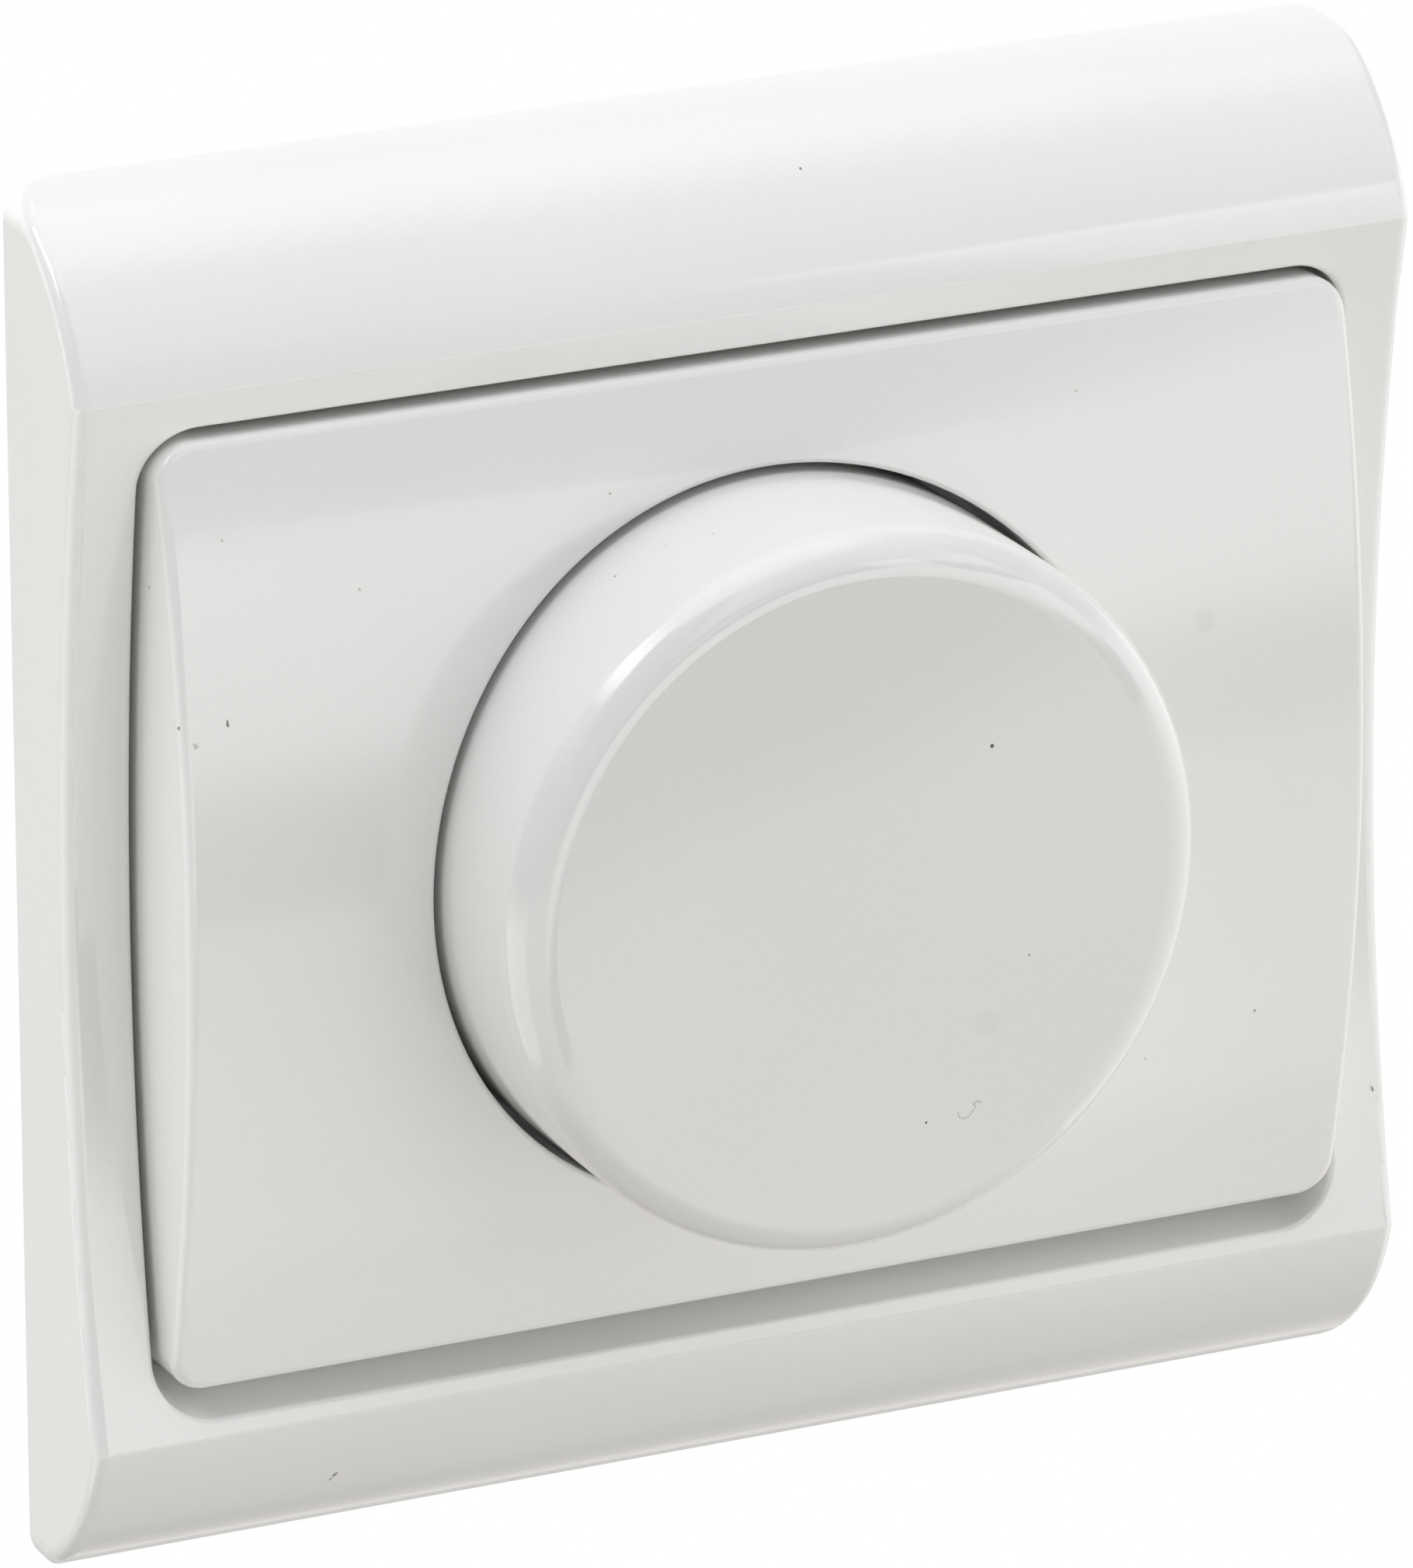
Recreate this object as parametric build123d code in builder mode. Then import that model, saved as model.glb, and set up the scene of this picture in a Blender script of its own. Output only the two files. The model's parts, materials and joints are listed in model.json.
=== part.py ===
from build123d import *
import os
from math import cos, radians, sin

# Rotary dimmer switch for a 60 mm wall box.
# X runs to the right, Y into the wall and Z up. The origin is on the wall plane, on the knob's axis.
# A depth is measured from the wall plane towards the room, so depths inside the wall are negative.

# Cover frame
frame_side = 3.85
frame_drop = 0.5
shoulder_rise = 10.3
ridge_rise = 0.9
ridge_depth = 10.1
middle_depth = 6.9
shoulder_radius = 14.4
ridge_round = 0.4
side_round = 0.8
frame_corner = 2.2
opening_depth = 5.0
opening_gap = 0.35
opening_gap_top = 0.4
opening_gap_bottom = 0.5
opening_corner = 2.6
mouth_flare = 0.25
mouth_flare_top = 0.2
mouth_flare_bottom = 1.7
mouth_corner = 3.6
lip_round = 0.3
web_ledge = 5.55
web_ledge_end = 4.35
web_corner = 4.0
screw_notch_play = 1.1
screw_notch_height = 9.0
band_pocket_wall = 3.8
band_pocket_height = 6.6
band_pocket_depth = 4.6
band_pocket_length = 21.0
band_pocket_corner = 0.8
band_pocket_pitch = 23.0
plate_pocket_play = 1.2

# Support plate
support_inset = 5.5
support_corner = 7.0
support_thickness = 1.2
support_round = 0.2
slot_spacing = 60.0
slot_length = 7.0
slot_width = 3.6
support_rib_length = 18.0
support_rib_width = 2.4
support_rib_height = 0.8
support_rib_offset = 33.0
support_screw_hole = 1.2

# Centre plate
plate_width = 73.1
plate_height = 55.7
plate_drop = 0.25
plate_corner = 2.2
plate_depth = 13.9
plate_arc_radius = 110.0
plate_edge_round = 0.6
plate_wall = 1.8
plate_rear = 2.6
well_gap = 0.5
well_wall = 1.5
well_floor = 1.8
well_lip_round = 0.25
plate_rib_width = 1.2
plate_rib_offset = 26.0

# Knob
knob_radius = 21.2
knob_depth = 23.8
knob_rim_round = 2.4
knob_skirt_depth = 6.6
knob_wall = 1.8
knob_front_wall = 2.2
hub_radius = 5.4
hub_depth = 10.2
hub_inner_round = 1.0
knob_rib_width = 1.4
knob_rib_depth = 17.0
knob_rib_reach = 20.0
press_travel = 1.6
press_play = 0.05

# Spring clip round the hub
clip_gap = 0.03
clip_thickness = 0.6
clip_height = 3.4
clip_depth = 11.4
clip_slot = 2.4

# Bushing, nut and washer
neck_radius = 5.0
neck_depth = 8.2
neck_bore = 3.08
flange_radius = 8.5
flange_thickness = 1.0
neck_hole_gap = 0.15
washer_radius = 8.0
washer_thickness = 0.6
nut_flats = 14.0
nut_height = 2.4
nut_round = 0.3

# Control shaft
shaft_radius = 3.0
shaft_tip_depth = 20.8
shaft_tip_chamfer = 0.5
flat_height = 1.5
front_flat_depth = 9.4
rear_flat_depth = -1.05
shaft_rear_depth = -6.9
groove_radius = 2.4
groove_width = 0.9
groove_depth = -0.05
bore_gap = 0.04

# Potentiometer
pot_wall = 1.1
pot_rear_depth = -5.6
track_thickness = 1.0
track_hole = 3.6
track_radius = 5.6
track_width = 1.2
track_raise = 0.12
rotor_radius = 6.6
rotor_front_depth = -2.8
rotor_thickness = 1.2
stop_angle = 44.0
stop_gap = 0.1
lug_angle = 35.0
lug_outer = 7.3
wiper_thickness = 0.2
wiper_angle = 70.0
wiper_width = 1.6
wiper_tip = 0.8
wiper_gap = 0.05
ring_outer = 4.1
ring_slot = 3.4

# Push switch
switch_size = 13.0
switch_wall = 1.0
switch_rear_depth = -15.0
plunger_pin_radius = 1.9
plunger_disc_radius = 4.0
plunger_disc_depth = -7.5
plunger_disc_thickness = 1.5
plunger_guide_radius = 1.4
plunger_guide_depth = -11.8
spring_radius = 2.3
spring_wire = 0.28
spring_turns = 4
bridge_length = 9.4
bridge_width = 2.2
bridge_thickness = 0.4
contact_thickness = 0.5
contact_width = 2.0
contact_inner = 3.0
contact_leg_offset = 7.4
contact_leg_depth = -8.0
contact_slot_gap = 0.05

# Insert housing
housing_size = 46.0
housing_corner = 12.0
housing_wall = 1.8
housing_front_wall = 1.6
housing_rear_depth = -21.0
collar_step = 3.2
collar_corner = 15.8
collar_gap = 0.2
boss_inset = 6.0
boss_radius = 2.6
partition_width = 1.2
partition_offset = 4.5
partition_rise = 3.7
partition_rear_depth = -20.2
pad_width = 2.6
pad_height = 4.0
pad_offset = 9.0
screw_hole_gap = 0.05

# Small screws
small_screw_radius = 1.0
small_head_radius = 1.9
small_head_height = 1.1
support_screw_depth = -7.0
cover_screw_depth = -13.0
screw_slot_width = 0.6
screw_slot_depth = 0.5
screw_hole_end = 0.5

# Rear cover
cover_thickness = 2.0
cover_lip_gap = 0.1
cover_lip_width = 1.2
cover_lip_length = 18.0
cover_lip_height = 1.6
cover_leg_width = 2.2
cover_leg_thickness = 1.0
cover_head_gap = 0.2
vent_length = 12.0
vent_width = 1.6
vent_pitch = 4.0
vent_count = 3
vent_center = 6.0
cover_boss_width = 27.0
cover_boss_height = 6.4
cover_round = 0.6

# Circuit board
board_gap = 0.4
board_corner = 10.0
board_front_depth = -8.0
board_thickness = 1.6
board_rise = 4.2
board_notch_radius = 3.2
board_cutout = 13.6
pin_hole_gap = 0.1

# Terminals
terminal_pitch = 9.0
terminal_inset = 5.6
terminal_head_radius = 2.4
terminal_head_height = 1.6
terminal_head_top = -22.9
terminal_shank_radius = 1.5
terminal_tip_depth = -15.6
terminal_head_gap = 0.15
terminal_shank_gap = 0.1
terminal_thread_gap = 0.05
head_shelf_depth = -21.2
clamp_width = 6.4
clamp_length = 6.0
clamp_wall = 1.0
clamp_open_depth = -15.65
clamp_wire_space = 4.7
clamp_round = 0.5
bar_width = 4.0
bar_thickness = 1.0
bar_gap = 0.1
bar_drop = 3.0
bar_rise = 6.8
bar_leg_thickness = 1.0
bar_leg_width = 1.8
bar_leg_depth = -7.2
wire_hole_width = 4.4
wire_hole_height = 3.6
wire_hole_round = 0.5

# Power parts
sink_width = 26.0
sink_height = 10.4
sink_thickness = 1.4
sink_inset = 7.8
triac_tab_length = 15.6
triac_tab_thickness = 1.3
triac_width = 10.0
triac_body_length = 9.0
triac_body_thickness = 4.4
triac_left = -8.0
triac_hole_radius = 1.8
triac_hole_inset = 2.8
triac_lead_pitch = 2.54
triac_lead_width = 0.9
triac_lead_thickness = 0.5
triac_lead_reach = 2.4
triac_screw_radius = 1.5
triac_head_radius = 2.7
triac_head_height = 1.8
triac_screw_end_depth = -2.0

# Parts on the rear of the board
choke_gap = 1.1
choke_z = 1.0
choke_radius = 5.9
choke_height = 9.4
choke_flange = 1.4
choke_core_radius = 3.0
choke_winding_radius = 5.4
choke_winding_gap = 0.1
film_gap = 4.3
film_z = 3.0
film_width = 7.0
film_height = 13.0
film_rise = 10.0
film_round = 0.6
lead_radius = 0.3
film_lead_pitch = 10.0
lead_reach = 1.0
lying_gap = 0.1
lead_bend = 0.5
timing_inset = 10.0
timing_z = -7.6
timing_width = 7.2
timing_height = 3.0
timing_rise = 6.6
timing_lead_pitch = 5.0
resistor_inset = 6.6
resistor_z = -7.0
resistor_pitch = 2.7
resistor_radius = 1.2
resistor_length = 6.2
resistor_neck_radius = 1.0
resistor_neck_length = 3.4
resistor_lead_reach = 1.0
diode_x = 0.0
diode_z = -8.6
diode_radius = 1.0
diode_length = 4.0
fuse_inset = 7.8
fuse_axis_depth = -13.6
fuse_length = 20.0
fuse_radius = 2.6
fuse_glass_radius = 2.4
fuse_cap_length = 5.0
fuse_clip_width = 4.6
fuse_clip_offset = 6.9
fuse_clip_wall = 0.4
fuse_clip_gap = 0.05
fuse_clip_mouth = 3.4
fuse_clip_foot = 1.8

os.makedirs("parts", exist_ok=True)

# Opening and outline of the cover frame, which follow the centre plate
opening_width = plate_width + 2 * opening_gap
opening_top = plate_height / 2 - plate_drop + opening_gap_top
opening_bottom = plate_height / 2 + plate_drop + opening_gap_bottom
mouth_width = opening_width + 2 * mouth_flare
mouth_top = opening_top + mouth_flare_top
mouth_bottom = opening_bottom + mouth_flare_bottom
ridge_half = mouth_bottom + ridge_rise - frame_drop
frame_width = mouth_width + 2 * frame_side
frame_height = 2 * (ridge_half + shoulder_rise)
support_size = frame_width - 2 * support_inset

# Places of the pieces that follow the housing
housing_half = housing_size / 2
collar_size = housing_size - 2 * collar_step
board_size = housing_size - 2 * (housing_wall + board_gap)
boss_offset = housing_half - boss_inset
terminal_height = terminal_inset - housing_half
board_bottom = terminal_height + board_rise
bar_bottom = terminal_height - bar_drop
bar_top = terminal_height + bar_rise
sink_center = housing_half - sink_inset
fuse_z = housing_half - fuse_inset
inner_half = housing_half - housing_wall
choke_x = choke_radius + choke_gap - inner_half
film_x = inner_half - film_gap - film_width / 2
timing_x = inner_half - timing_inset
resistor_x = resistor_inset - inner_half

# Depths that several pieces share
bridge_rear = plunger_disc_depth - plunger_disc_thickness - bridge_thickness
contact_front = bridge_rear - press_travel - press_play


def at_depth(depth):
    """Sketch plane parallel to the wall; a positive extrusion comes towards the room."""
    return Plane.XZ.offset(depth)


def wedge(direction, angle):
    """Corners of a triangle that spans an angle about a direction, larger than any round part here."""
    half = angle / 2
    first = (knob_radius * cos(radians(direction - half)), knob_radius * sin(radians(direction - half)))
    second = (knob_radius * cos(radians(direction + half)), knob_radius * sin(radians(direction + half)))
    return (0, 0), first, second


def lead_corners(x, half, axis_depth):
    """Corners of a wire lead that passes along a part lying on the board and down into it."""
    end_depth = board_front_depth + lead_reach
    return (
        (x - half, -end_depth),
        (x - half, -axis_depth),
        (x + half, -axis_depth),
        (x + half, -end_depth),
    )


def finish(part, name):
    """Name a finished piece and write its file."""
    part.label = name
    export_step(part, "parts/" + name + ".step")


# Cover frame
frame_half = frame_width / 2
outline_half = frame_height / 2
ridge_top = (-ridge_depth, ridge_half - frame_drop)
ridge_bottom = (-ridge_depth, -ridge_half - frame_drop)
opening_height = opening_top + opening_bottom
opening_middle = (opening_top - opening_bottom) / 2
mouth_height = mouth_top + mouth_bottom
mouth_middle = (mouth_top - mouth_bottom) / 2
web_rear = support_thickness
pocket_middle = outline_half - band_pocket_wall - band_pocket_height / 2
front_reach = 2 * plate_depth

with BuildPart() as cover_frame:
    with BuildSketch(Plane.YZ.offset(-frame_half)) as frame_section:
        with BuildLine():
            wall_top = (0, outline_half - frame_drop)
            wall_bottom = (0, -outline_half - frame_drop)
            RadiusArc(wall_top, ridge_top, -shoulder_radius)
            ThreePointArc(ridge_top, (-middle_depth, -frame_drop), ridge_bottom)
            RadiusArc(ridge_bottom, wall_bottom, -shoulder_radius)
            Line(wall_bottom, wall_top)
        make_face()
        ridges = frame_section.vertices().sort_by(Axis.X)[:2]
        fillet(ridges, ridge_round)
    extrude(amount=frame_width)
    with BuildSketch(at_depth(0)):
        with Locations((0, -frame_drop)):
            RectangleRounded(frame_width, frame_height, frame_corner)
    extrude(amount=front_reach, mode=Mode.INTERSECT)
    end_edges = (
        cover_frame.edges()
        .filter_by(lambda e: abs(e.center().X) > frame_half - frame_corner)
        .filter_by(lambda e: e.center().Y < -lip_round)
        .filter_by(GeomType.LINE, reverse=True)
    )
    fillet(end_edges, side_round)
    with BuildSketch(at_depth(plate_rear)):
        with Locations((0, opening_middle)):
            RectangleRounded(opening_width, opening_height, opening_corner)
    extrude(amount=opening_depth - plate_rear, mode=Mode.SUBTRACT)
    with BuildSketch(at_depth(opening_depth)):
        with Locations((0, opening_middle)):
            RectangleRounded(opening_width, opening_height, opening_corner)
    with BuildSketch(at_depth(ridge_depth)):
        with Locations((0, mouth_middle)):
            RectangleRounded(mouth_width, mouth_height, mouth_corner)
    loft(ruled=True, mode=Mode.SUBTRACT)
    lip_edges = (
        cover_frame.edges()
        .filter_by(lambda e: e.center().Y < -middle_depth)
        .filter_by(lambda e: abs(e.center().X) < mouth_width / 2 + lip_round)
        .filter_by(lambda e: -mouth_bottom - lip_round < e.center().Z < mouth_top + lip_round)
        .filter_by(lambda e: abs(e.bounding_box().size.Y) < ridge_depth - middle_depth)
    )
    fillet(lip_edges, lip_round)
    with BuildSketch(at_depth(0)):
        RectangleRounded(plate_width - 2 * web_ledge, plate_height - 2 * web_ledge_end, web_corner)
        RectangleRounded(
            slot_spacing + slot_length + 2 * screw_notch_play, screw_notch_height, web_corner
        )
    extrude(amount=front_reach, mode=Mode.SUBTRACT)
    with BuildSketch(at_depth(0)):
        with Locations((0, -frame_drop)):
            RectangleRounded(
                support_size + 2 * plate_pocket_play,
                support_size + 2 * plate_pocket_play,
                support_corner,
            )
    extrude(amount=web_rear, mode=Mode.SUBTRACT)
    with BuildSketch(at_depth(0)):
        with Locations((0, pocket_middle - frame_drop), (0, -pocket_middle - frame_drop)):
            with GridLocations(band_pocket_pitch, 1, 3, 1):
                RectangleRounded(band_pocket_length, band_pocket_height, band_pocket_corner)
    extrude(amount=band_pocket_depth, mode=Mode.SUBTRACT)

finish(cover_frame.part, "cover_frame")

# Centre plate
arc_center = (plate_arc_radius - plate_depth, -plate_drop)
plate_half = plate_width / 2
well_radius = knob_radius + well_gap
well_outer = well_radius + well_wall
well_floor_front = plate_rear + well_floor
cavity_half_height = plate_height / 2 - plate_wall
cavity_arc_radius = plate_arc_radius - plate_wall

with BuildPart() as plate_cavity:
    with BuildSketch(Plane.YZ.offset(-plate_half + plate_wall)):
        with Locations(arc_center):
            Circle(cavity_arc_radius)
        with Locations((-plate_rear, -plate_drop)):
            Rectangle(
                front_reach, 2 * cavity_half_height, align=(Align.MAX, Align.CENTER), mode=Mode.INTERSECT
            )
    extrude(amount=plate_width - 2 * plate_wall)
    with BuildSketch(at_depth(plate_rear)):
        Circle(well_outer)
        with Locations((plate_rib_offset, 0), (-plate_rib_offset, 0)):
            Rectangle(plate_rib_width, plate_height)
    extrude(amount=front_reach, mode=Mode.SUBTRACT)

with BuildPart() as centre_plate:
    with BuildSketch(Plane.YZ.offset(-plate_half)):
        with Locations(arc_center):
            Circle(plate_arc_radius)
        with Locations((-plate_rear, -plate_drop)):
            Rectangle(front_reach, plate_height, align=(Align.MAX, Align.CENTER), mode=Mode.INTERSECT)
    extrude(amount=plate_width)
    fillet(centre_plate.edges().filter_by(Axis.Y), plate_corner)
    fillet(centre_plate.faces().sort_by(Axis.Y)[0].edges(), plate_edge_round)
    add(plate_cavity.part, mode=Mode.SUBTRACT)
    with BuildSketch(at_depth(well_floor_front)):
        Circle(well_radius)
    extrude(amount=front_reach, mode=Mode.SUBTRACT)
    well_lip = centre_plate.edges().filter_by(
        lambda e: e.bounding_box().size.X > 2 * well_radius - well_wall
        and e.bounding_box().size.X < 2 * well_radius + well_wall
        and e.center().Y < -well_floor_front - 1
    )
    fillet(well_lip, well_lip_round)
    with BuildSketch(at_depth(plate_rear)):
        Circle(neck_radius + neck_hole_gap)
    extrude(amount=well_floor, mode=Mode.SUBTRACT)
finish(centre_plate.part, "centre_plate")

# Knob
knob_inner = knob_radius - knob_wall
knob_inner_depth = knob_depth - knob_front_wall
with BuildPart() as knob:
    with BuildSketch(at_depth(knob_skirt_depth)):
        Circle(knob_radius)
    extrude(amount=knob_depth - knob_skirt_depth)
    fillet(knob.faces().sort_by(Axis.Y)[0].edges(), knob_rim_round)
    with BuildSketch(at_depth(knob_skirt_depth)):
        Circle(knob_inner)
    extrude(amount=knob_inner_depth - knob_skirt_depth, mode=Mode.SUBTRACT)
    inner_rim = (
        knob.edges()
        .filter_by(GeomType.CIRCLE)
        .filter_by(lambda e: abs(e.center().Y + knob_inner_depth) < knob_wall / 2)
    )
    fillet(inner_rim, hub_inner_round)
    with BuildSketch(at_depth(hub_depth)):
        Circle(hub_radius)
    extrude(amount=knob_inner_depth - hub_depth)
    with BuildSketch(at_depth(knob_rib_depth)):
        Rectangle(2 * knob_rib_reach, knob_rib_width)
        Rectangle(knob_rib_width, 2 * knob_rib_reach)
    extrude(amount=knob_inner_depth - knob_rib_depth)
    with BuildSketch(at_depth(hub_depth)):
        Circle(shaft_radius + bore_gap)
        with Locations((0, flat_height + bore_gap)):
            Rectangle(
                2 * hub_radius, 2 * shaft_radius, align=(Align.CENTER, Align.MIN), mode=Mode.SUBTRACT
            )
    extrude(amount=shaft_tip_depth + bore_gap - hub_depth, mode=Mode.SUBTRACT)
finish(knob.part, "knob")

# Spring clip round the hub
clip_inner = hub_radius + clip_gap
with BuildPart() as knob_clip:
    with BuildSketch(at_depth(clip_depth)):
        Circle(clip_inner + clip_thickness)
        Circle(clip_inner, mode=Mode.SUBTRACT)
        with Locations((0, -clip_inner)):
            Rectangle(clip_slot, 2 * hub_radius, mode=Mode.SUBTRACT)
    extrude(amount=clip_height)
finish(knob_clip.part, "knob_clip")

# Bushing with flange and neck
flange_front = flange_thickness
with BuildPart() as bushing:
    with BuildSketch(at_depth(0)):
        Circle(flange_radius)
    extrude(amount=flange_thickness)
    with BuildSketch(at_depth(flange_front)):
        Circle(neck_radius)
    extrude(amount=neck_depth - flange_front)
    with BuildSketch(at_depth(0)):
        Circle(neck_bore)
    extrude(amount=neck_depth, mode=Mode.SUBTRACT)
finish(bushing.part, "bushing")

with BuildPart() as washer:
    with BuildSketch(at_depth(well_floor_front)):
        Circle(washer_radius)
        Circle(neck_radius + neck_hole_gap, mode=Mode.SUBTRACT)
    extrude(amount=washer_thickness)
finish(washer.part, "washer")

nut_rear = well_floor_front + washer_thickness
with BuildPart() as fixing_nut:
    with BuildSketch(at_depth(nut_rear)):
        RegularPolygon(nut_flats / 2, 6, major_radius=False)
        Circle(neck_radius + bore_gap, mode=Mode.SUBTRACT)
    extrude(amount=nut_height)
    chamfer(fixing_nut.faces().sort_by(Axis.Y)[0].outer_wire().edges(), nut_round)
finish(fixing_nut.part, "fixing_nut")

# Control shaft with a flat at each end
flat_cut_length = shaft_tip_depth - front_flat_depth
with BuildPart() as control_shaft:
    with BuildSketch(at_depth(shaft_rear_depth)):
        Circle(shaft_radius)
    extrude(amount=shaft_tip_depth - shaft_rear_depth)
    chamfer(control_shaft.faces().sort_by(Axis.Y)[0].edges(), shaft_tip_chamfer)
    with BuildSketch(at_depth(front_flat_depth)):
        with Locations((0, flat_height)):
            Rectangle(2 * shaft_radius, shaft_radius, align=(Align.CENTER, Align.MIN))
    extrude(amount=flat_cut_length, mode=Mode.SUBTRACT)
    with BuildSketch(at_depth(rear_flat_depth)):
        with Locations((0, flat_height)):
            Rectangle(2 * shaft_radius, shaft_radius, align=(Align.CENTER, Align.MIN))
    extrude(amount=shaft_rear_depth - rear_flat_depth, mode=Mode.SUBTRACT)
    with BuildSketch(at_depth(groove_depth)):
        Circle(2 * shaft_radius)
        Circle(groove_radius, mode=Mode.SUBTRACT)
    extrude(amount=-groove_width, mode=Mode.SUBTRACT)
finish(control_shaft.part, "control_shaft")

with BuildPart() as retaining_ring:
    with BuildSketch(at_depth(groove_depth - bore_gap)):
        Circle(ring_outer)
        Circle(groove_radius + bore_gap, mode=Mode.SUBTRACT)
        with Locations((0, -ring_outer)):
            Rectangle(ring_slot, 2 * groove_radius, mode=Mode.SUBTRACT)
    extrude(amount=-groove_width + 2 * bore_gap)
finish(retaining_ring.part, "retaining_ring")

# Potentiometer
pot_inner = flange_radius - pot_wall
stop_inner = rotor_radius + stop_gap
with BuildPart() as potentiometer_body:
    with BuildSketch(at_depth(pot_rear_depth)):
        Circle(flange_radius)
        Circle(pot_inner, mode=Mode.SUBTRACT)
    extrude(amount=-pot_rear_depth)
    with BuildSketch(at_depth(rotor_front_depth)):
        Circle(pot_inner + pot_wall / 2)
        Circle(stop_inner, mode=Mode.SUBTRACT)
        Polygon(*wedge(-90, stop_angle), align=None, mode=Mode.INTERSECT)
    extrude(amount=-rotor_thickness)
finish(potentiometer_body.part, "potentiometer_body")

track_rear = pot_rear_depth - track_thickness
with BuildPart() as track_disc:
    with BuildSketch(at_depth(track_rear)):
        Circle(flange_radius)
        Circle(track_hole, mode=Mode.SUBTRACT)
    extrude(amount=track_thickness)
    with BuildSketch(at_depth(pot_rear_depth)):
        Circle(track_radius + track_width / 2)
        Circle(track_radius - track_width / 2, mode=Mode.SUBTRACT)
        Polygon(*wedge(-90, stop_angle), align=None, mode=Mode.SUBTRACT)
    extrude(amount=track_raise)
finish(track_disc.part, "track_disc")

with BuildPart() as rotor:
    with BuildSketch(at_depth(rotor_front_depth - rotor_thickness)):
        Circle(lug_outer)
        Polygon(*wedge(90, lug_angle), align=None, mode=Mode.INTERSECT)
        Circle(rotor_radius)
        Circle(shaft_radius + bore_gap, mode=Mode.SUBTRACT)
        with Locations((0, flat_height + bore_gap)):
            Rectangle(2 * shaft_radius, shaft_radius, align=(Align.CENTER, Align.MIN))
    extrude(amount=rotor_thickness)
finish(rotor.part, "rotor")

wiper_front = rotor_front_depth - rotor_thickness
wiper_drop = wiper_front - pot_rear_depth - track_raise - wiper_gap
with BuildPart() as wiper:
    with BuildSketch(at_depth(wiper_front - wiper_thickness)):
        Circle(rotor_radius - wiper_gap)
        Circle(track_hole, mode=Mode.SUBTRACT)
        Polygon(*wedge(90, wiper_angle), align=None, mode=Mode.INTERSECT)
    extrude(amount=wiper_thickness)
    with BuildSketch(at_depth(wiper_front - wiper_drop)):
        with Locations((0, track_radius)):
            Rectangle(wiper_width, wiper_tip)
    extrude(amount=wiper_drop)
finish(wiper.part, "wiper")

# Push switch behind the potentiometer
switch_front = track_rear
switch_depth = switch_front - switch_rear_depth
cavity_depth = switch_rear_depth + switch_wall
with BuildPart() as switch_housing:
    with BuildSketch(at_depth(switch_rear_depth)):
        RectangleRounded(switch_size, switch_size, switch_wall)
    extrude(amount=switch_depth)
    with BuildSketch(at_depth(cavity_depth)):
        Rectangle(switch_size - 2 * switch_wall, switch_size - 2 * switch_wall)
    extrude(amount=switch_depth, mode=Mode.SUBTRACT)
    with BuildSketch(at_depth(contact_front)):
        Rectangle(2 * switch_size, contact_width + 2 * contact_slot_gap)
    extrude(amount=-contact_thickness - contact_slot_gap, mode=Mode.SUBTRACT)
finish(switch_housing.part, "switch_housing")

disc_rear = plunger_disc_depth - plunger_disc_thickness
with BuildPart() as switch_plunger:
    with BuildSketch(at_depth(disc_rear)):
        Circle(plunger_disc_radius)
    extrude(amount=plunger_disc_thickness)
    with BuildSketch(at_depth(plunger_disc_depth)):
        Circle(plunger_pin_radius)
    extrude(amount=shaft_rear_depth - plunger_disc_depth)
    with BuildSketch(at_depth(plunger_guide_depth)):
        Circle(plunger_guide_radius)
    extrude(amount=disc_rear - plunger_guide_depth)
finish(switch_plunger.part, "switch_plunger")

bridge_front = disc_rear
with BuildPart() as moving_contact:
    with BuildSketch(at_depth(bridge_front - bridge_thickness)):
        Rectangle(bridge_length, bridge_width)
        Circle(plunger_disc_radius - bridge_thickness)
        Circle(spring_radius + 2 * spring_wire, mode=Mode.SUBTRACT)
    extrude(amount=bridge_thickness)
finish(moving_contact.part, "moving_contact")

spring_rear = cavity_depth + spring_wire
spring_front = disc_rear - spring_wire
spring_length = spring_front - spring_rear
with BuildPart() as switch_spring:
    with BuildLine():
        spring_path = Helix(
            spring_length / spring_turns,
            spring_length,
            spring_radius,
            center=(0, -spring_rear, 0),
            direction=(0, -1, 0),
        )
    with BuildSketch(Plane(origin=spring_path @ 0, z_dir=spring_path % 0)):
        Circle(spring_wire)
    sweep(path=spring_path, is_frenet=True)
finish(switch_spring.part, "switch_spring")

with BuildPart() as fixed_contacts:
    for side in (-1, 1):
        with BuildSketch(at_depth(contact_front)):
            with Locations((side * (contact_inner + contact_leg_offset) / 2, 0)):
                Rectangle(contact_leg_offset - contact_inner, contact_width)
        extrude(amount=-contact_thickness)
        with BuildSketch(at_depth(contact_front - contact_thickness)):
            with Locations((side * contact_leg_offset, 0)):
                Rectangle(contact_thickness, contact_width)
        extrude(amount=contact_leg_depth - contact_front + contact_thickness)
finish(fixed_contacts.part, "fixed_contacts")

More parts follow.
